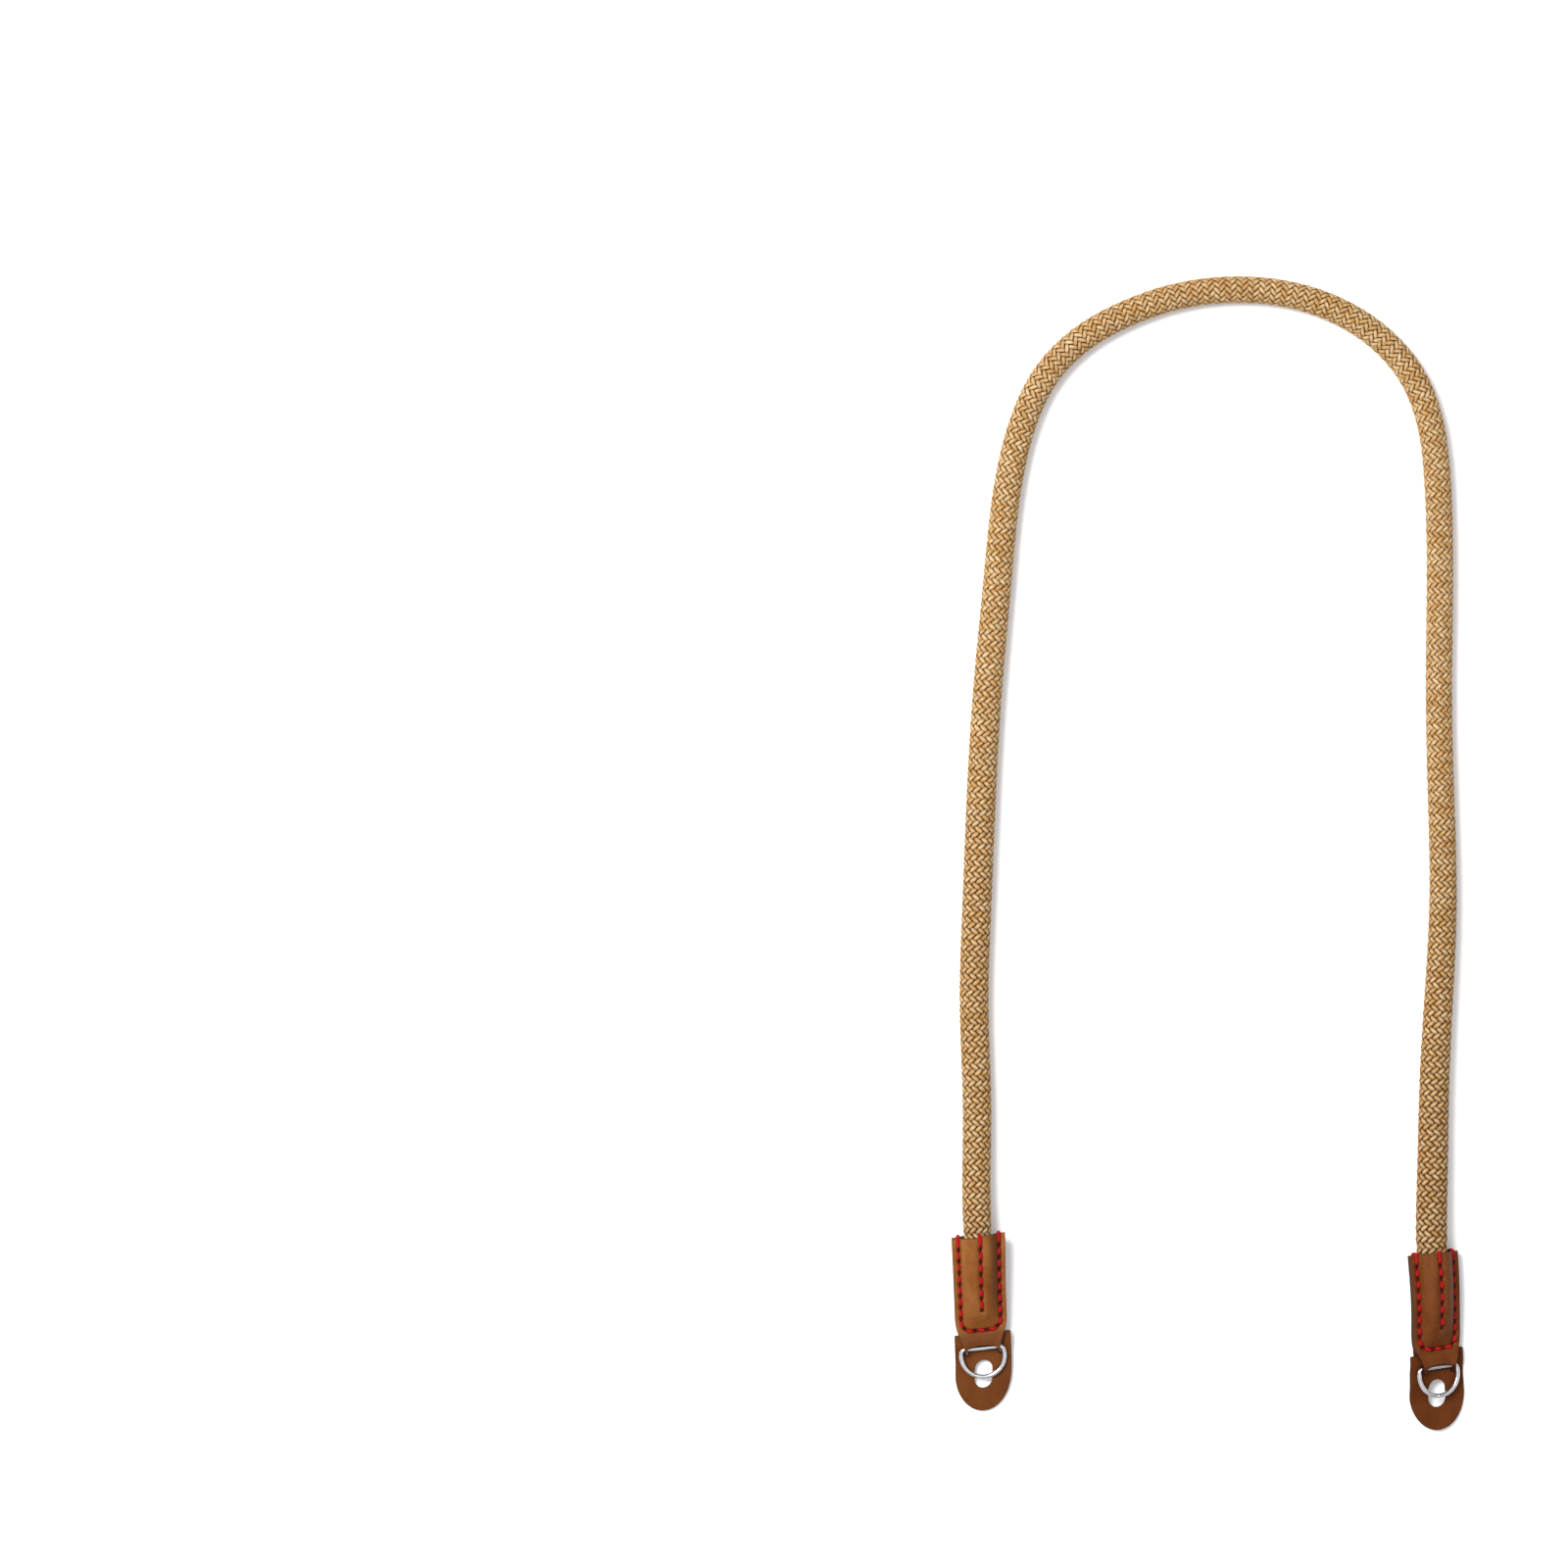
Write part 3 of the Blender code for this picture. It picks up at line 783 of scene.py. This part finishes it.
def make_rope():
    line = RopeLine()
    cotton = braided_cotton()
    tints = np.random.default_rng(7).random(2 * STRANDS_EACH_WAY)
    strands = [(index, way) for way in (1, -1) for index in range(STRANDS_EACH_WAY)]
    pieces = []
    for first in range(0, len(strands), STRANDS_A_PIECE):
        skins = Skins()
        for (index, way), tint in list(zip(strands, tints))[first : first + STRANDS_A_PIECE]:
            add_strand(skins, line, index, way, tint)
        piece = skins.mesh("rope_strands_%d" % (len(pieces) + 1))
        pieces.append(finished(piece, cotton, "strap", "cotton_rope", "rope"))
    distance = np.linspace(0.0, line.length, CORE_RINGS)
    radius = CORE_RADIUS * line.radius(distance) / ROPE_RADIUS
    skins = Skins()
    squeeze = line.squeeze(distance)
    middle = line.read(line.points, distance)
    rings = tube(middle, line.read(line.up, distance), radius, CORE_SIDES, squeeze)
    skins.add(rings, distance)
    core = finished(skins.mesh("rope_core"), core_cotton(), "strap", "cotton_rope", "rope")
    (line.points[::20] * MM).tolist()


# Leather.

def cut_leather(name, outlines, x_cuts, y_cuts):
    """A flat plate with rounded cut edges, in millimetres, divided along every cut."""
    flat = bpy.data.curves.new(name, "CURVE")
    flat.dimensions = "2D"
    flat.fill_mode = "BOTH"
    flat.bevel_depth = EDGE_ROUND
    flat.bevel_resolution = 1
    flat.offset = -EDGE_ROUND
    flat.extrude = 0.5 * LEATHER - EDGE_ROUND
    for outline in outlines:
        spline = flat.splines.new("POLY")
        spline.points.add(len(outline) - 1)
        spline.use_cyclic_u = True
        for knot, (x, y) in zip(spline.points, outline):
            knot.co = (x, y, 0.0, 1.0)
    piece = bpy.data.objects.new(name, flat)
    bpy.context.scene.collection.objects.link(piece)
    make_active(piece)
    bpy.ops.object.convert(target="MESH")
    piece = bpy.context.view_layer.objects.active
    shape = bmesh.new()
    shape.from_mesh(piece.data)
    bmesh.ops.remove_doubles(shape, verts=shape.verts, dist=0.001)
    for normal, cuts in (((1.0, 0.0, 0.0), x_cuts), ((0.0, 1.0, 0.0), y_cuts)):
        for cut in cuts:
            bmesh.ops.bisect_plane(
                shape,
                geom=[*shape.verts, *shape.edges, *shape.faces],
                dist=0.0005,
                plane_co=[cut * part for part in normal],
                plane_no=normal,
            )
    bmesh.ops.recalc_face_normals(shape, faces=shape.faces)
    shape.to_mesh(piece.data)
    shape.free()
    piece.data.name = name
    return piece


def read_points(mesh):
    points = np.empty(len(mesh.vertices) * 3)
    mesh.vertices.foreach_get("co", points)
    return points.reshape(-1, 3)


def write_points(mesh, points):
    mesh.vertices.foreach_set("co", points.ravel())
    mesh.update()


def write_value(mesh, name, values):
    attribute = mesh.attributes.new(name, "FLOAT", "POINT")
    attribute.data.foreach_set("value", np.asarray(values, np.float32))


def nearest(points, targets):
    """The distance in plan from each point to the nearest target."""
    tree = kdtree.KDTree(len(targets))
    for i, (x, y) in enumerate(targets):
        tree.insert((x, y, 0.0), i)
    tree.balance()
    return np.array([tree.find((x, y, 0.0))[2] for x, y in points[:, :2]])


def close_points(outline, step=0.1):
    """Points close together round a closed outline."""
    corners = np.array([*outline, outline[0]])
    along = distances_along(corners)
    where = np.arange(0.0, along[-1], step)
    return np.column_stack([np.interp(where, along, corners[:, i]) for i in range(2)])


def cuts_between(low, high, step=GRID_STEP):
    count = max(1, round((high - low) / step))
    return list(np.linspace(low, high, count + 1)[1:-1])


def edge_wear(rim, w):
    """1 on a cut edge, and fading over the first of the face, from the distance to the rim."""
    cut = ease(0.5 * LEATHER, 0.5 * LEATHER - EDGE_ROUND, np.abs(w))
    return np.maximum(0.4 * ease(0.45, 0.2, rim), cut)


def pushed_out(surface, x, y, w, delta=0.02):
    """Points at the height w along the normal of a surface, which is a function of x and y."""
    across = surface(x + delta, y) - surface(x - delta, y)
    along = surface(x, y + delta) - surface(x, y - delta)
    normal = unit(np.cross(across, along))
    return surface(x, y) + normal * np.asarray(w)[..., None]


class FoldedStrip:
    """A sleeve's strip. y in its flat pattern runs from the back's mouth round the fold to the front's."""

    def __init__(self, end):
        self.end = end
        self.slant = math.tan(math.radians(end["skew"]))
        self.half_width = profile(SLEEVE_OUTLINE, "half_width")
        seam = profile(SEWN_BODY, "seam_height")
        back_tunnel = profile(SEWN_BODY, "back_tunnel")
        front_tunnel = profile(SEWN_BODY, "front_tunnel")
        sewn = np.arange(SEAM_END + 0.2, MOUTH + 1.2, 0.2)
        neck = np.arange(0.2, SEAM_END, 0.2)
        radius = WIRE_RADIUS + BAR_CLEARANCE + 0.5 * LEATHER
        lip = (LIP_RADIUS - radius, LIP_RADIUS + 0.5 * LEATHER)
        fold = arc(lip, LIP_RADIUS, 270.0, 180.0) + arc((0.0, BAR_HEIGHT), radius, 180.0, 90.0)[1:]
        fold = np.array(fold)
        level = np.zeros(len(neck))
        layers = (
            (sewn[::-1], (seam(sewn) - LAYER_SPREAD)[::-1], -np.maximum(back_tunnel(sewn), 0)[::-1]),
            (neck[::-1], profile(NECK_LAYERS, "back_height")(neck)[::-1], level),
            (fold[:, 0], fold[:, 1], np.zeros(len(fold))),
            (neck, profile(NECK_LAYERS, "front_height")(neck), level),
            (sewn, seam(sewn) + LAYER_SPREAD, np.maximum(front_tunnel(sewn), 0)),
        )
        self.along, self.height, self.tunnels = (np.concatenate(rows) for rows in zip(*layers))
        self.flat = distances_along(np.column_stack([self.along, self.height]))
        self.foot = len(sewn) + len(neck) + int(np.argmin(fold[:, 0]))
        spare = np.interp(-MOUTH, -self.along[: self.foot], self.flat[: self.foot])
        self.flat -= spare
        self.fold_start = self.flat[len(sewn) + len(neck)]
        self.fold_end = self.flat[len(sewn) + len(neck) + len(fold) - 1]
        self.middle = 0.5 * (self.fold_start + self.fold_end)
        self.length = float(self.front(MOUTH))

    def front(self, along):
        """The place in the flat pattern of a distance along the front layer."""
        return np.interp(along, self.along[self.foot :], self.flat[self.foot :])

    def back(self, along):
        """The same in the back layer."""
        return np.interp(-np.asarray(along), -self.along[: self.foot + 1], self.flat[: self.foot + 1])

    def surface(self, x, y):
        """The strip's middle surface in the end's frame."""
        x, y = np.broadcast_arrays(np.asarray(x, float), np.asarray(y, float))
        along = np.interp(y, self.flat, self.along)
        base = np.interp(y, self.flat, self.height)
        tunnel = np.interp(y, self.flat, self.tunnels)
        column_x = x * SLEEVE_HALF_WIDTH / self.half_width(along)
        part = np.minimum(np.abs(column_x) / TUNNEL_HALF_WIDTH, 1.0)
        bulge = tunnel * (1.0 - part ** self.end["tunnel_power"])
        side = np.where(y > self.middle, 1.0, -1.0)
        sewn = ease(MIDDLE_STITCH_END - 1.5, MIDDLE_STITCH_END + 5.0, along)
        off_line = x - self.middle_line(along)
        valley = side * VALLEY_DEPTH * sewn * np.exp(-((off_line / VALLEY_WIDTH) ** 2))
        near_arch = ease(3.6, 1.0, along) * ease(0.0, 0.9, along) * (y > self.middle)
        dip = FOLD_DIP * near_arch * ease(*FOLD_DIP_ENDS, np.abs(x))
        height = base + bulge - valley - dip
        mouth = ease(MOUTH - MOUTH_EDGE_LENGTH, MOUTH, along)
        slope = math.tan(math.radians(self.end["mouth_slope"])) * x
        step = self.end["mouth_step"] * (ease(-0.8, 0.8, off_line) - 0.4) * side + slope
        widening = ease(MOUTH - MOUTH_FLARE_LENGTH, MOUTH, along)
        flare = MOUTH_FLARE * (x + SLEEVE_HALF_WIDTH) * widening
        return np.stack([x + flare, along + step * mouth + self.slant * x, height], axis=-1)

    def middle_line(self, along):
        """How far across the middle line of stitches lies."""
        at_mouth, at_foot = self.end["middle_stitches"]
        return np.interp(along, (MIDDLE_STITCH_END, MOUTH), (at_foot, at_mouth))

    def outline(self):
        """The strip's edge, round the whole flat pattern."""
        places = np.concatenate([[0.0], np.arange(0.4, self.length - 0.2, 0.4), [self.length]])
        half = self.half_width(np.interp(places, self.flat, self.along))
        right = list(zip(half, places))
        return right + [(-x, y) for x, y in reversed(right)]

    def window(self):
        """The window's edge in the flat pattern: an arch in each layer and straight sides between."""
        rise = self.end["arch"] - WINDOW_SPRING
        crown = arc((0.0, 0.0), 1.0, 180.0, 0.0, 9.0)
        front = [(WINDOW_HALF_WIDTH * x, self.front(WINDOW_SPRING + rise * y)) for x, y in crown]
        back = [(WINDOW_HALF_WIDTH * x, self.back(WINDOW_SPRING + rise * y)) for x, y in crown]
        return front + back[::-1]


def seam_path():
    """The stitching line down the left side, round the bottom and up the right side, in x and y."""
    inner = STITCH_LINE - STITCH_CORNER
    centre = STITCH_FOOT + STITCH_CORNER
    path = [(-STITCH_LINE, MOUTH)]
    path += arc((-inner, centre), STITCH_CORNER, 180.0, 270.0)
    path += arc((inner, centre), STITCH_CORNER, 270.0, 360.0)
    path.append((STITCH_LINE, MOUTH))
    return np.array(path)


def stitch_places(path, count):
    """The needle holes, and the path of each stitch between two of them."""
    along = distances_along(path)
    holes = np.linspace(0.0, along[-1], count + 1)
    read = lambda where: np.column_stack([np.interp(where, along, path[:, i]) for i in range(2)])
    part = 0.5 - 0.5 * np.cos(np.linspace(0.0, math.pi, STITCH_POINTS))
    part = 0.5 * (part + np.linspace(0.0, 1.0, STITCH_POINTS))
    stitches = [read(a + (b - a) * part) for a, b in zip(holes, holes[1:])]
    return read(holes), stitches


def sewing(strip):
    """For each layer, its needle holes and its stitches in the flat pattern."""
    middle = np.array([(strip.middle_line(y), y) for y in (MOUTH, MIDDLE_STITCH_END)])
    found = []
    for to_flat in (strip.front, strip.back):
        holes, stitches = [], []
        for path, count in ((seam_path(), SIDE_STITCHES), (middle, MIDDLE_STITCHES)):
            points, lines = stitch_places(path, count)
            holes += [(x, float(to_flat(y))) for x, y in points if y < MOUTH - 1.0]
            stitches += [np.column_stack([line[:, 0], to_flat(line[:, 1])]) for line in lines]
        found.append((holes, stitches))
    return found


def make_sleeve(side, end, leather):
    strip = FoldedStrip(end)
    outlines = [strip.outline(), strip.window()]
    x_cuts = cuts_between(-SLEEVE_HALF_WIDTH, SLEEVE_HALF_WIDTH)
    y_cuts = cuts_between(0.0, strip.length)
    sleeve = cut_leather("sleeve_leather_" + side, outlines, x_cuts, y_cuts)
    points = read_points(sleeve.data)
    x, y, w = points.T
    rim = nearest(points, np.vstack([close_points(outline) for outline in outlines]))
    write_value(sleeve.data, "edge", edge_wear(rim, w))
    along = np.interp(y, strip.flat, strip.along)
    # Painted shade: darker along the tunnel's shaded flank, on the neck and on the fold's ears.
    flank = np.exp(-(((x - FLANK) / FLANK_WIDTH) ** 2)) * ease(*FLANK_FADE, along)
    neck = ease(*NECK_FADE, along)
    fold = ease(*FOLD_FADE, along)
    wear_and_painted_shade = [end["flank_painted_shade"] * flank, end["neck_painted_shade"] * neck, FOLD_PAINTED_SHADE * fold]
    write_value(sleeve.data, "wear_and_painted_shade", np.maximum.reduce(wear_and_painted_shade))
    sewn = sewing(strip)
    holes = [hole for layer, _ in sewn for hole in layer]
    lines = np.vstack([line for _, layer in sewn for line in layer])
    to_hole = nearest(points, holes)
    to_line = nearest(points, lines)
    outer = w > 0.0
    # Painted shade in the needle holes of the outer face.
    write_value(sleeve.data, "hole", np.exp(-((to_hole / NEEDLE_HOLE) ** 2)) * outer)
    groove = STITCH_GROOVE_DEPTH * np.exp(-((to_line / STITCH_GROOVE) ** 2))
    sunk = NEEDLE_HOLE_DEPTH * np.exp(-((to_hole / NEEDLE_HOLE) ** 2))
    w = np.where(outer, w - (groove + sunk), w)
    placed = pushed_out(strip.surface, x, y, w)
    write_points(sleeve.data, moved(placed, end_matrix(end)) * MM)
    return finished(sleeve, leather, "strap", "brown_leather", "sleeve_" + side), strip, sewn


def sewn_path(strip, line, dive_first=True, proud=THREAD_PROUD):
    """A stitch's middle line and the directions out of the leather, sunk in the holes at its ends."""
    part = distances_along(line)
    part = part / part[-1]
    away = np.minimum(part if dive_first else 1.0, 1.0 - part)
    arch = ease(*THREAD_RISE, away)
    w = 0.5 * LEATHER - THREAD_SUNK + (THREAD_SUNK + proud) * arch
    middle = pushed_out(strip.surface, line[:, 0], line[:, 1], w)
    above = pushed_out(strip.surface, line[:, 0], line[:, 1], w + 0.5)
    # The last value, how far the thread is sunk, carries its painted shade.
    return middle, unit(above - middle), 1.0 - arch


def wrap(first, centre, last, reach, ahead):
    """Half a turn of thread, from the first point to the last round the centre of a leather edge."""
    angle = np.linspace(0.5 * math.pi, -0.5 * math.pi, STITCH_POINTS)
    half = 0.5 * (first - last)
    out = np.sin(angle)[:, None] * half + (reach * np.cos(angle))[:, None] * ahead
    return centre + out, unit(out)


def make_stitches(side, end, strip, sewn, thread):
    """Every stitch of a sleeve, of twisted plies, sunk in the needle holes and proud between them."""
    skins = Skins()
    matrix = end_matrix(end)
    ahead = np.array((0.0, 1.0, 0.0))
    mouth_stitches = {}
    for layer, (_, stitches) in enumerate(sewn):
        proud = THREAD_PROUD if layer == 0 else BACK_THREAD_PROUD
        for index, line in enumerate(stitches):
            if index in (0, SIDE_STITCHES, SIDE_STITCHES - 1):
                if index == SIDE_STITCHES - 1:
                    line = line[::-1]
                mouth_stitches[layer, index] = sewn_path(strip, line, False, proud)
            else:
                add_plies(skins, *sewn_path(strip, line, True, proud), matrix)
    for index in (0, SIDE_STITCHES - 1):
        front, back = mouth_stitches[0, index], mouth_stitches[1, index]
        centre = 0.5 * (front[0][0] + back[0][0])
        over, outward = wrap(front[0][0], centre, back[0][0], SIDE_WRAP, ahead)
        middle = np.vstack([front[0][::-1], over[1:-1], back[0]])
        outward = np.vstack([front[1][::-1], outward[1:-1], back[1]])
        depth = np.concatenate([front[2][::-1], np.zeros(len(over) - 2), back[2]])
        add_plies(skins, middle, outward, depth, matrix)
    for layer in (0, 1):
        middle, outward, depth = mouth_stitches[layer, SIDE_STITCHES]
        inner = middle[0] - 2.0 * (0.5 * LEATHER + THREAD_PROUD) * outward[0]
        over, turned = wrap(middle[0], 0.5 * (middle[0] + inner), inner, MIDDLE_WRAP, ahead)
        tail = inner - np.linspace(0.0, THREAD_TAIL, TAIL_POINTS)[:, None] * ahead
        middle = np.vstack([middle[::-1], over[1:], tail[1:]])
        hidden = TAIL_POINTS - 1
        outward = np.vstack([outward[::-1], turned[1:], np.repeat(turned[-1:], hidden, axis=0)])
        depth = np.concatenate([depth[::-1], np.zeros(len(over) - 1), np.ones(hidden)])
        add_plies(skins, middle, outward, depth, matrix)
    piece = skins.mesh("stitching_" + side)
    return finished(piece, thread, "strap", "red_thread")


def add_plies(skins, middle, outward, depth, matrix):
    """Plies of thread twisted round a middle line."""
    tangent = unit(np.gradient(middle, axis=0))
    across = unit(np.cross(tangent, outward))
    outward = np.cross(across, tangent)
    along = distances_along(middle)
    for start in np.arange(PLIES) * 2.0 * math.pi / PLIES:
        turn = start + 2.0 * math.pi * along / THREAD_TWIST
        offset = np.cos(turn)[:, None] * across + np.sin(turn)[:, None] * outward
        rings = tube(middle + PLY_LAY * offset, outward, PLY_RADIUS, THREAD_SIDES)
        rings = moved(rings.reshape(-1, 3), matrix).reshape(rings.shape)
        skins.add(rings, along, depth=depth[:, None])


# Pads.

def pad_outline():
    ease_radius = 0.6
    right = arc((PAD_HALF_WIDTH - ease_radius, PAD_TOP - ease_radius), ease_radius, 90.0, 0.0, 15.0)
    depth = PAD_ROUND_START - PAD_TIP
    bottom = [
        (PAD_HALF_WIDTH * x, PAD_ROUND_START + depth * y)
        for x, y in arc((0.0, 0.0), 1.0, 0.0, -180.0, 3.0)
    ]
    return right + bottom + [(-x, y) for x, y in reversed(right)]


def hole_outline():
    radius = 0.5 * HOLE_WIDTH
    reach = 0.5 * HOLE_LENGTH - radius
    upper = arc((0.0, HOLE_CENTRE + reach), radius, 0.0, 180.0)
    lower = arc((0.0, HOLE_CENTRE - reach), radius, 180.0, 360.0)
    return upper + lower


def slit_outline():
    right = [
        (SLIT_HALF_WIDTH, SLIT_TOP),
        (SLIT_HALF_WIDTH, SLIT_FOOT),
        (TONGUE_HALF_WIDTH, SLIT_FOOT),
        (TONGUE_HALF_WIDTH, TONGUE_TOP),
    ]
    return right + [(-x, y) for x, y in reversed(right)]


def make_pad(side, end, leather):
    outlines = [pad_outline(), hole_outline(), slit_outline()]
    x_cuts = cuts_between(-PAD_HALF_WIDTH, PAD_HALF_WIDTH, PAD_GRID_STEP)
    y_cuts = cuts_between(PAD_TIP, PAD_TOP, PAD_GRID_STEP)
    pad = cut_leather("pad_leather_" + side, outlines, x_cuts, y_cuts)
    slant, twist, droop, top_slope = (
        math.tan(math.radians(end[name])) for name in ("skew", "pad_twist", "pad_droop", "pad_top_slope")
    )
    height = profile(PAD_HEIGHT, "height")

    def surface(x, y):
        x, y = np.broadcast_arrays(np.asarray(x, float), np.asarray(y, float))
        untwist = ease(PAD_TWIST_START, PAD_TWIST_END, y) * (PAD_HALF_WIDTH - x) * twist
        fall = untwist + droop * np.maximum(PAD_FLAT_END - y, 0.0)
        slope = slant + top_slope * ease(SLIT_TOP, PAD_TOP, y)
        upper = ease(-16.0, -4.0, y)
        width = np.interp(upper, (0.0, 1.0), end["pad_widths"])
        shift = np.interp(upper, (0.0, 1.0), end["pad_shifts"])
        return np.stack([width * x + shift, y + slope * x, height(y) - fall], axis=-1)

    points = read_points(pad.data)
    x, y, w = points.T
    rim = nearest(points, np.vstack([close_points(outline) for outline in outlines]))
    write_value(pad.data, "edge", edge_wear(rim, w))
    for name in ("hole", "wear_and_painted_shade"):
        write_value(pad.data, name, np.zeros(len(points)))
    placed = pushed_out(surface, x, y, w)
    write_points(pad.data, moved(placed, end_matrix(end)) * MM)
    return finished(pad, leather, "strap", "brown_leather", "pad_" + side)


# Rings.

def spin(centre, angle, steps):
    """Spins the chosen face round an upright axis, and leaves the far face chosen."""
    upright = (0.0, 0.0, 1.0)
    bpy.ops.mesh.spin(steps=steps, angle=-angle, center=(*centre, 0.0), axis=upright)


def make_ring(side, end, plating):
    """A wire bent to a D: its round section is spun round the bow and the corners, and drawn out
    between them along the bar. Its two ends are butted on the bow."""
    reach = RING_RADIUS - RING_CORNER_RADIUS
    corner_y = RING_DROP - RING_CORNER_RADIUS
    corner_x = math.sqrt(reach**2 - corner_y**2)
    meet = math.atan2(corner_y, corner_x)
    bow = (0.0, -RING_DROP)
    right = (corner_x, -RING_CORNER_RADIUS)
    left = (-corner_x, -RING_CORNER_RADIUS)
    joint = math.radians(end["ring_joint"])
    half_gap = 0.5 * RING_JOINT_GAP / RING_RADIUS
    start = joint - 2.0 * math.pi + half_gap
    deselect()
    bpy.ops.mesh.primitive_circle_add(
        vertices=WIRE_SIDES,
        radius=WIRE_RADIUS,
        fill_type="NGON",
        location=(RING_RADIUS * math.cos(start), bow[1] + RING_RADIUS * math.sin(start), 0.0),
        rotation=(0.5 * math.pi, 0.0, start),
    )
    ring = bpy.context.object
    ring.name = "ring_wire_" + side
    bpy.ops.object.transform_apply(location=True, rotation=True, scale=True)
    bpy.ops.object.mode_set(mode="EDIT")
    bpy.ops.mesh.select_all(action="SELECT")
    spin(bow, meet - start, RIGHT_BOW_STEPS)
    spin(right, 0.5 * math.pi - meet, CORNER_STEPS)
    bpy.ops.mesh.extrude_region_move(TRANSFORM_OT_translate={"value": (-2.0 * corner_x, 0.0, 0.0)})
    spin(left, 0.5 * math.pi - meet, CORNER_STEPS)
    spin(bow, joint - half_gap - (math.pi - meet), LEFT_BOW_STEPS)
    bpy.ops.mesh.select_all(action="SELECT")
    bpy.ops.mesh.remove_doubles(threshold=0.0001)
    bpy.ops.mesh.normals_make_consistent(inside=False)
    bpy.ops.object.mode_set(mode="OBJECT")
    fall = math.atan2(BAR_HEIGHT - RING_LOW, RING_RADIUS + RING_DROP)
    raised = Matrix.Translation((0.0, 0.0, BAR_HEIGHT))
    turn = Matrix.Rotation(math.radians(end["skew"]), 4, "Z")
    place = end_matrix(end) @ np.array(raised @ turn @ Matrix.Rotation(fall, 4, "X"))
    write_points(ring.data, moved(read_points(ring.data), place) * MM)
    return finished(ring, plating, "ring_" + side, "plated_wire", "ring_" + side)


# Stage, light and camera.

def make_stage():
    deselect()
    bpy.ops.mesh.primitive_plane_add(size=6.0, location=TABLE_PLACE)
    table = bpy.context.object
    table.name = "table"
    table.data.materials.append(pale_table())


def make_key_light():
    """A high soft light from the upper left."""
    deselect()
    bpy.ops.object.light_add(type="AREA", location=KEY_PLACE)
    light = bpy.context.object
    light.name = "key"
    light.data.shape = "DISK"
    light.data.size = 0.85
    light.data.energy = 49.0
    light.data.color = (1.0, 0.985, 0.965)
    light.rotation_euler = (Vector(KEY_AIM) - Vector(KEY_PLACE)).to_track_quat("-Z", "Y").to_euler()


def make_room():
    """A pale room round the table, which darkens towards its walls."""
    world = bpy.data.worlds.new("studio")
    bpy.context.scene.world = world
    world.use_nodes = True
    nodes, links = world.node_tree.nodes, world.node_tree.links
    direction = nodes.new("ShaderNodeTexCoord")
    split = nodes.new("ShaderNodeSeparateXYZ")
    fade = nodes.new("ShaderNodeValToRGB")
    fade.color_ramp.elements[0].position = 0.4
    fade.color_ramp.elements[0].color = (0.14, 0.142, 0.15, 1.0)
    fade.color_ramp.elements[1].position = 0.8
    fade.color_ramp.elements[1].color = (0.95, 0.955, 0.97, 1.0)
    links.new(direction.outputs["Generated"], split.inputs[0])
    links.new(split.outputs["Z"], fade.inputs["Fac"])
    links.new(fade.outputs["Color"], nodes["Background"].inputs["Color"])
    nodes["Background"].inputs["Strength"].default_value = 1.05
    bpy.context.scene.view_settings.view_transform = "Standard"


def make_camera():
    deselect()
    bpy.ops.object.camera_add(location=CAMERA_PLACE, rotation=(0.0, 0.0, 0.0))
    camera = bpy.context.object
    camera.data.sensor_width = 36.0
    camera.data.lens = 104.0
    camera.data.clip_start = 0.01
    camera.data.clip_end = 50.0
    bpy.context.scene.camera = camera


make_stage()
make_room()
make_key_light()
make_camera()
make_rope()
# Each end has its own copies of the sleeve and pad leather, the right end's darker than the left's.
sleeve_leather = {
    "left": smooth_leather("left_sleeve_leather", (0.250, 0.094, 0.022), (0.150, 0.042, 0.007)),
    "right": smooth_leather("right_sleeve_leather", (0.152, 0.047, 0.0095), (0.090, 0.020, 0.0025)),
}
pad_leather = {
    "left": smooth_leather("left_pad_leather", (0.130, 0.038, 0.006), (0.090, 0.024, 0.003)),
    "right": smooth_leather("right_pad_leather", (0.110, 0.028, 0.004), (0.076, 0.017, 0.002)),
}
steel = plated_steel()
thread = waxed_thread()
for side, end in ENDS.items():
    sleeve, strip, sewn = make_sleeve(side, end, sleeve_leather[side])
    make_stitches(side, end, strip, sewn, thread)
    make_pad(side, end, pad_leather[side])
    make_ring(side, end, steel)
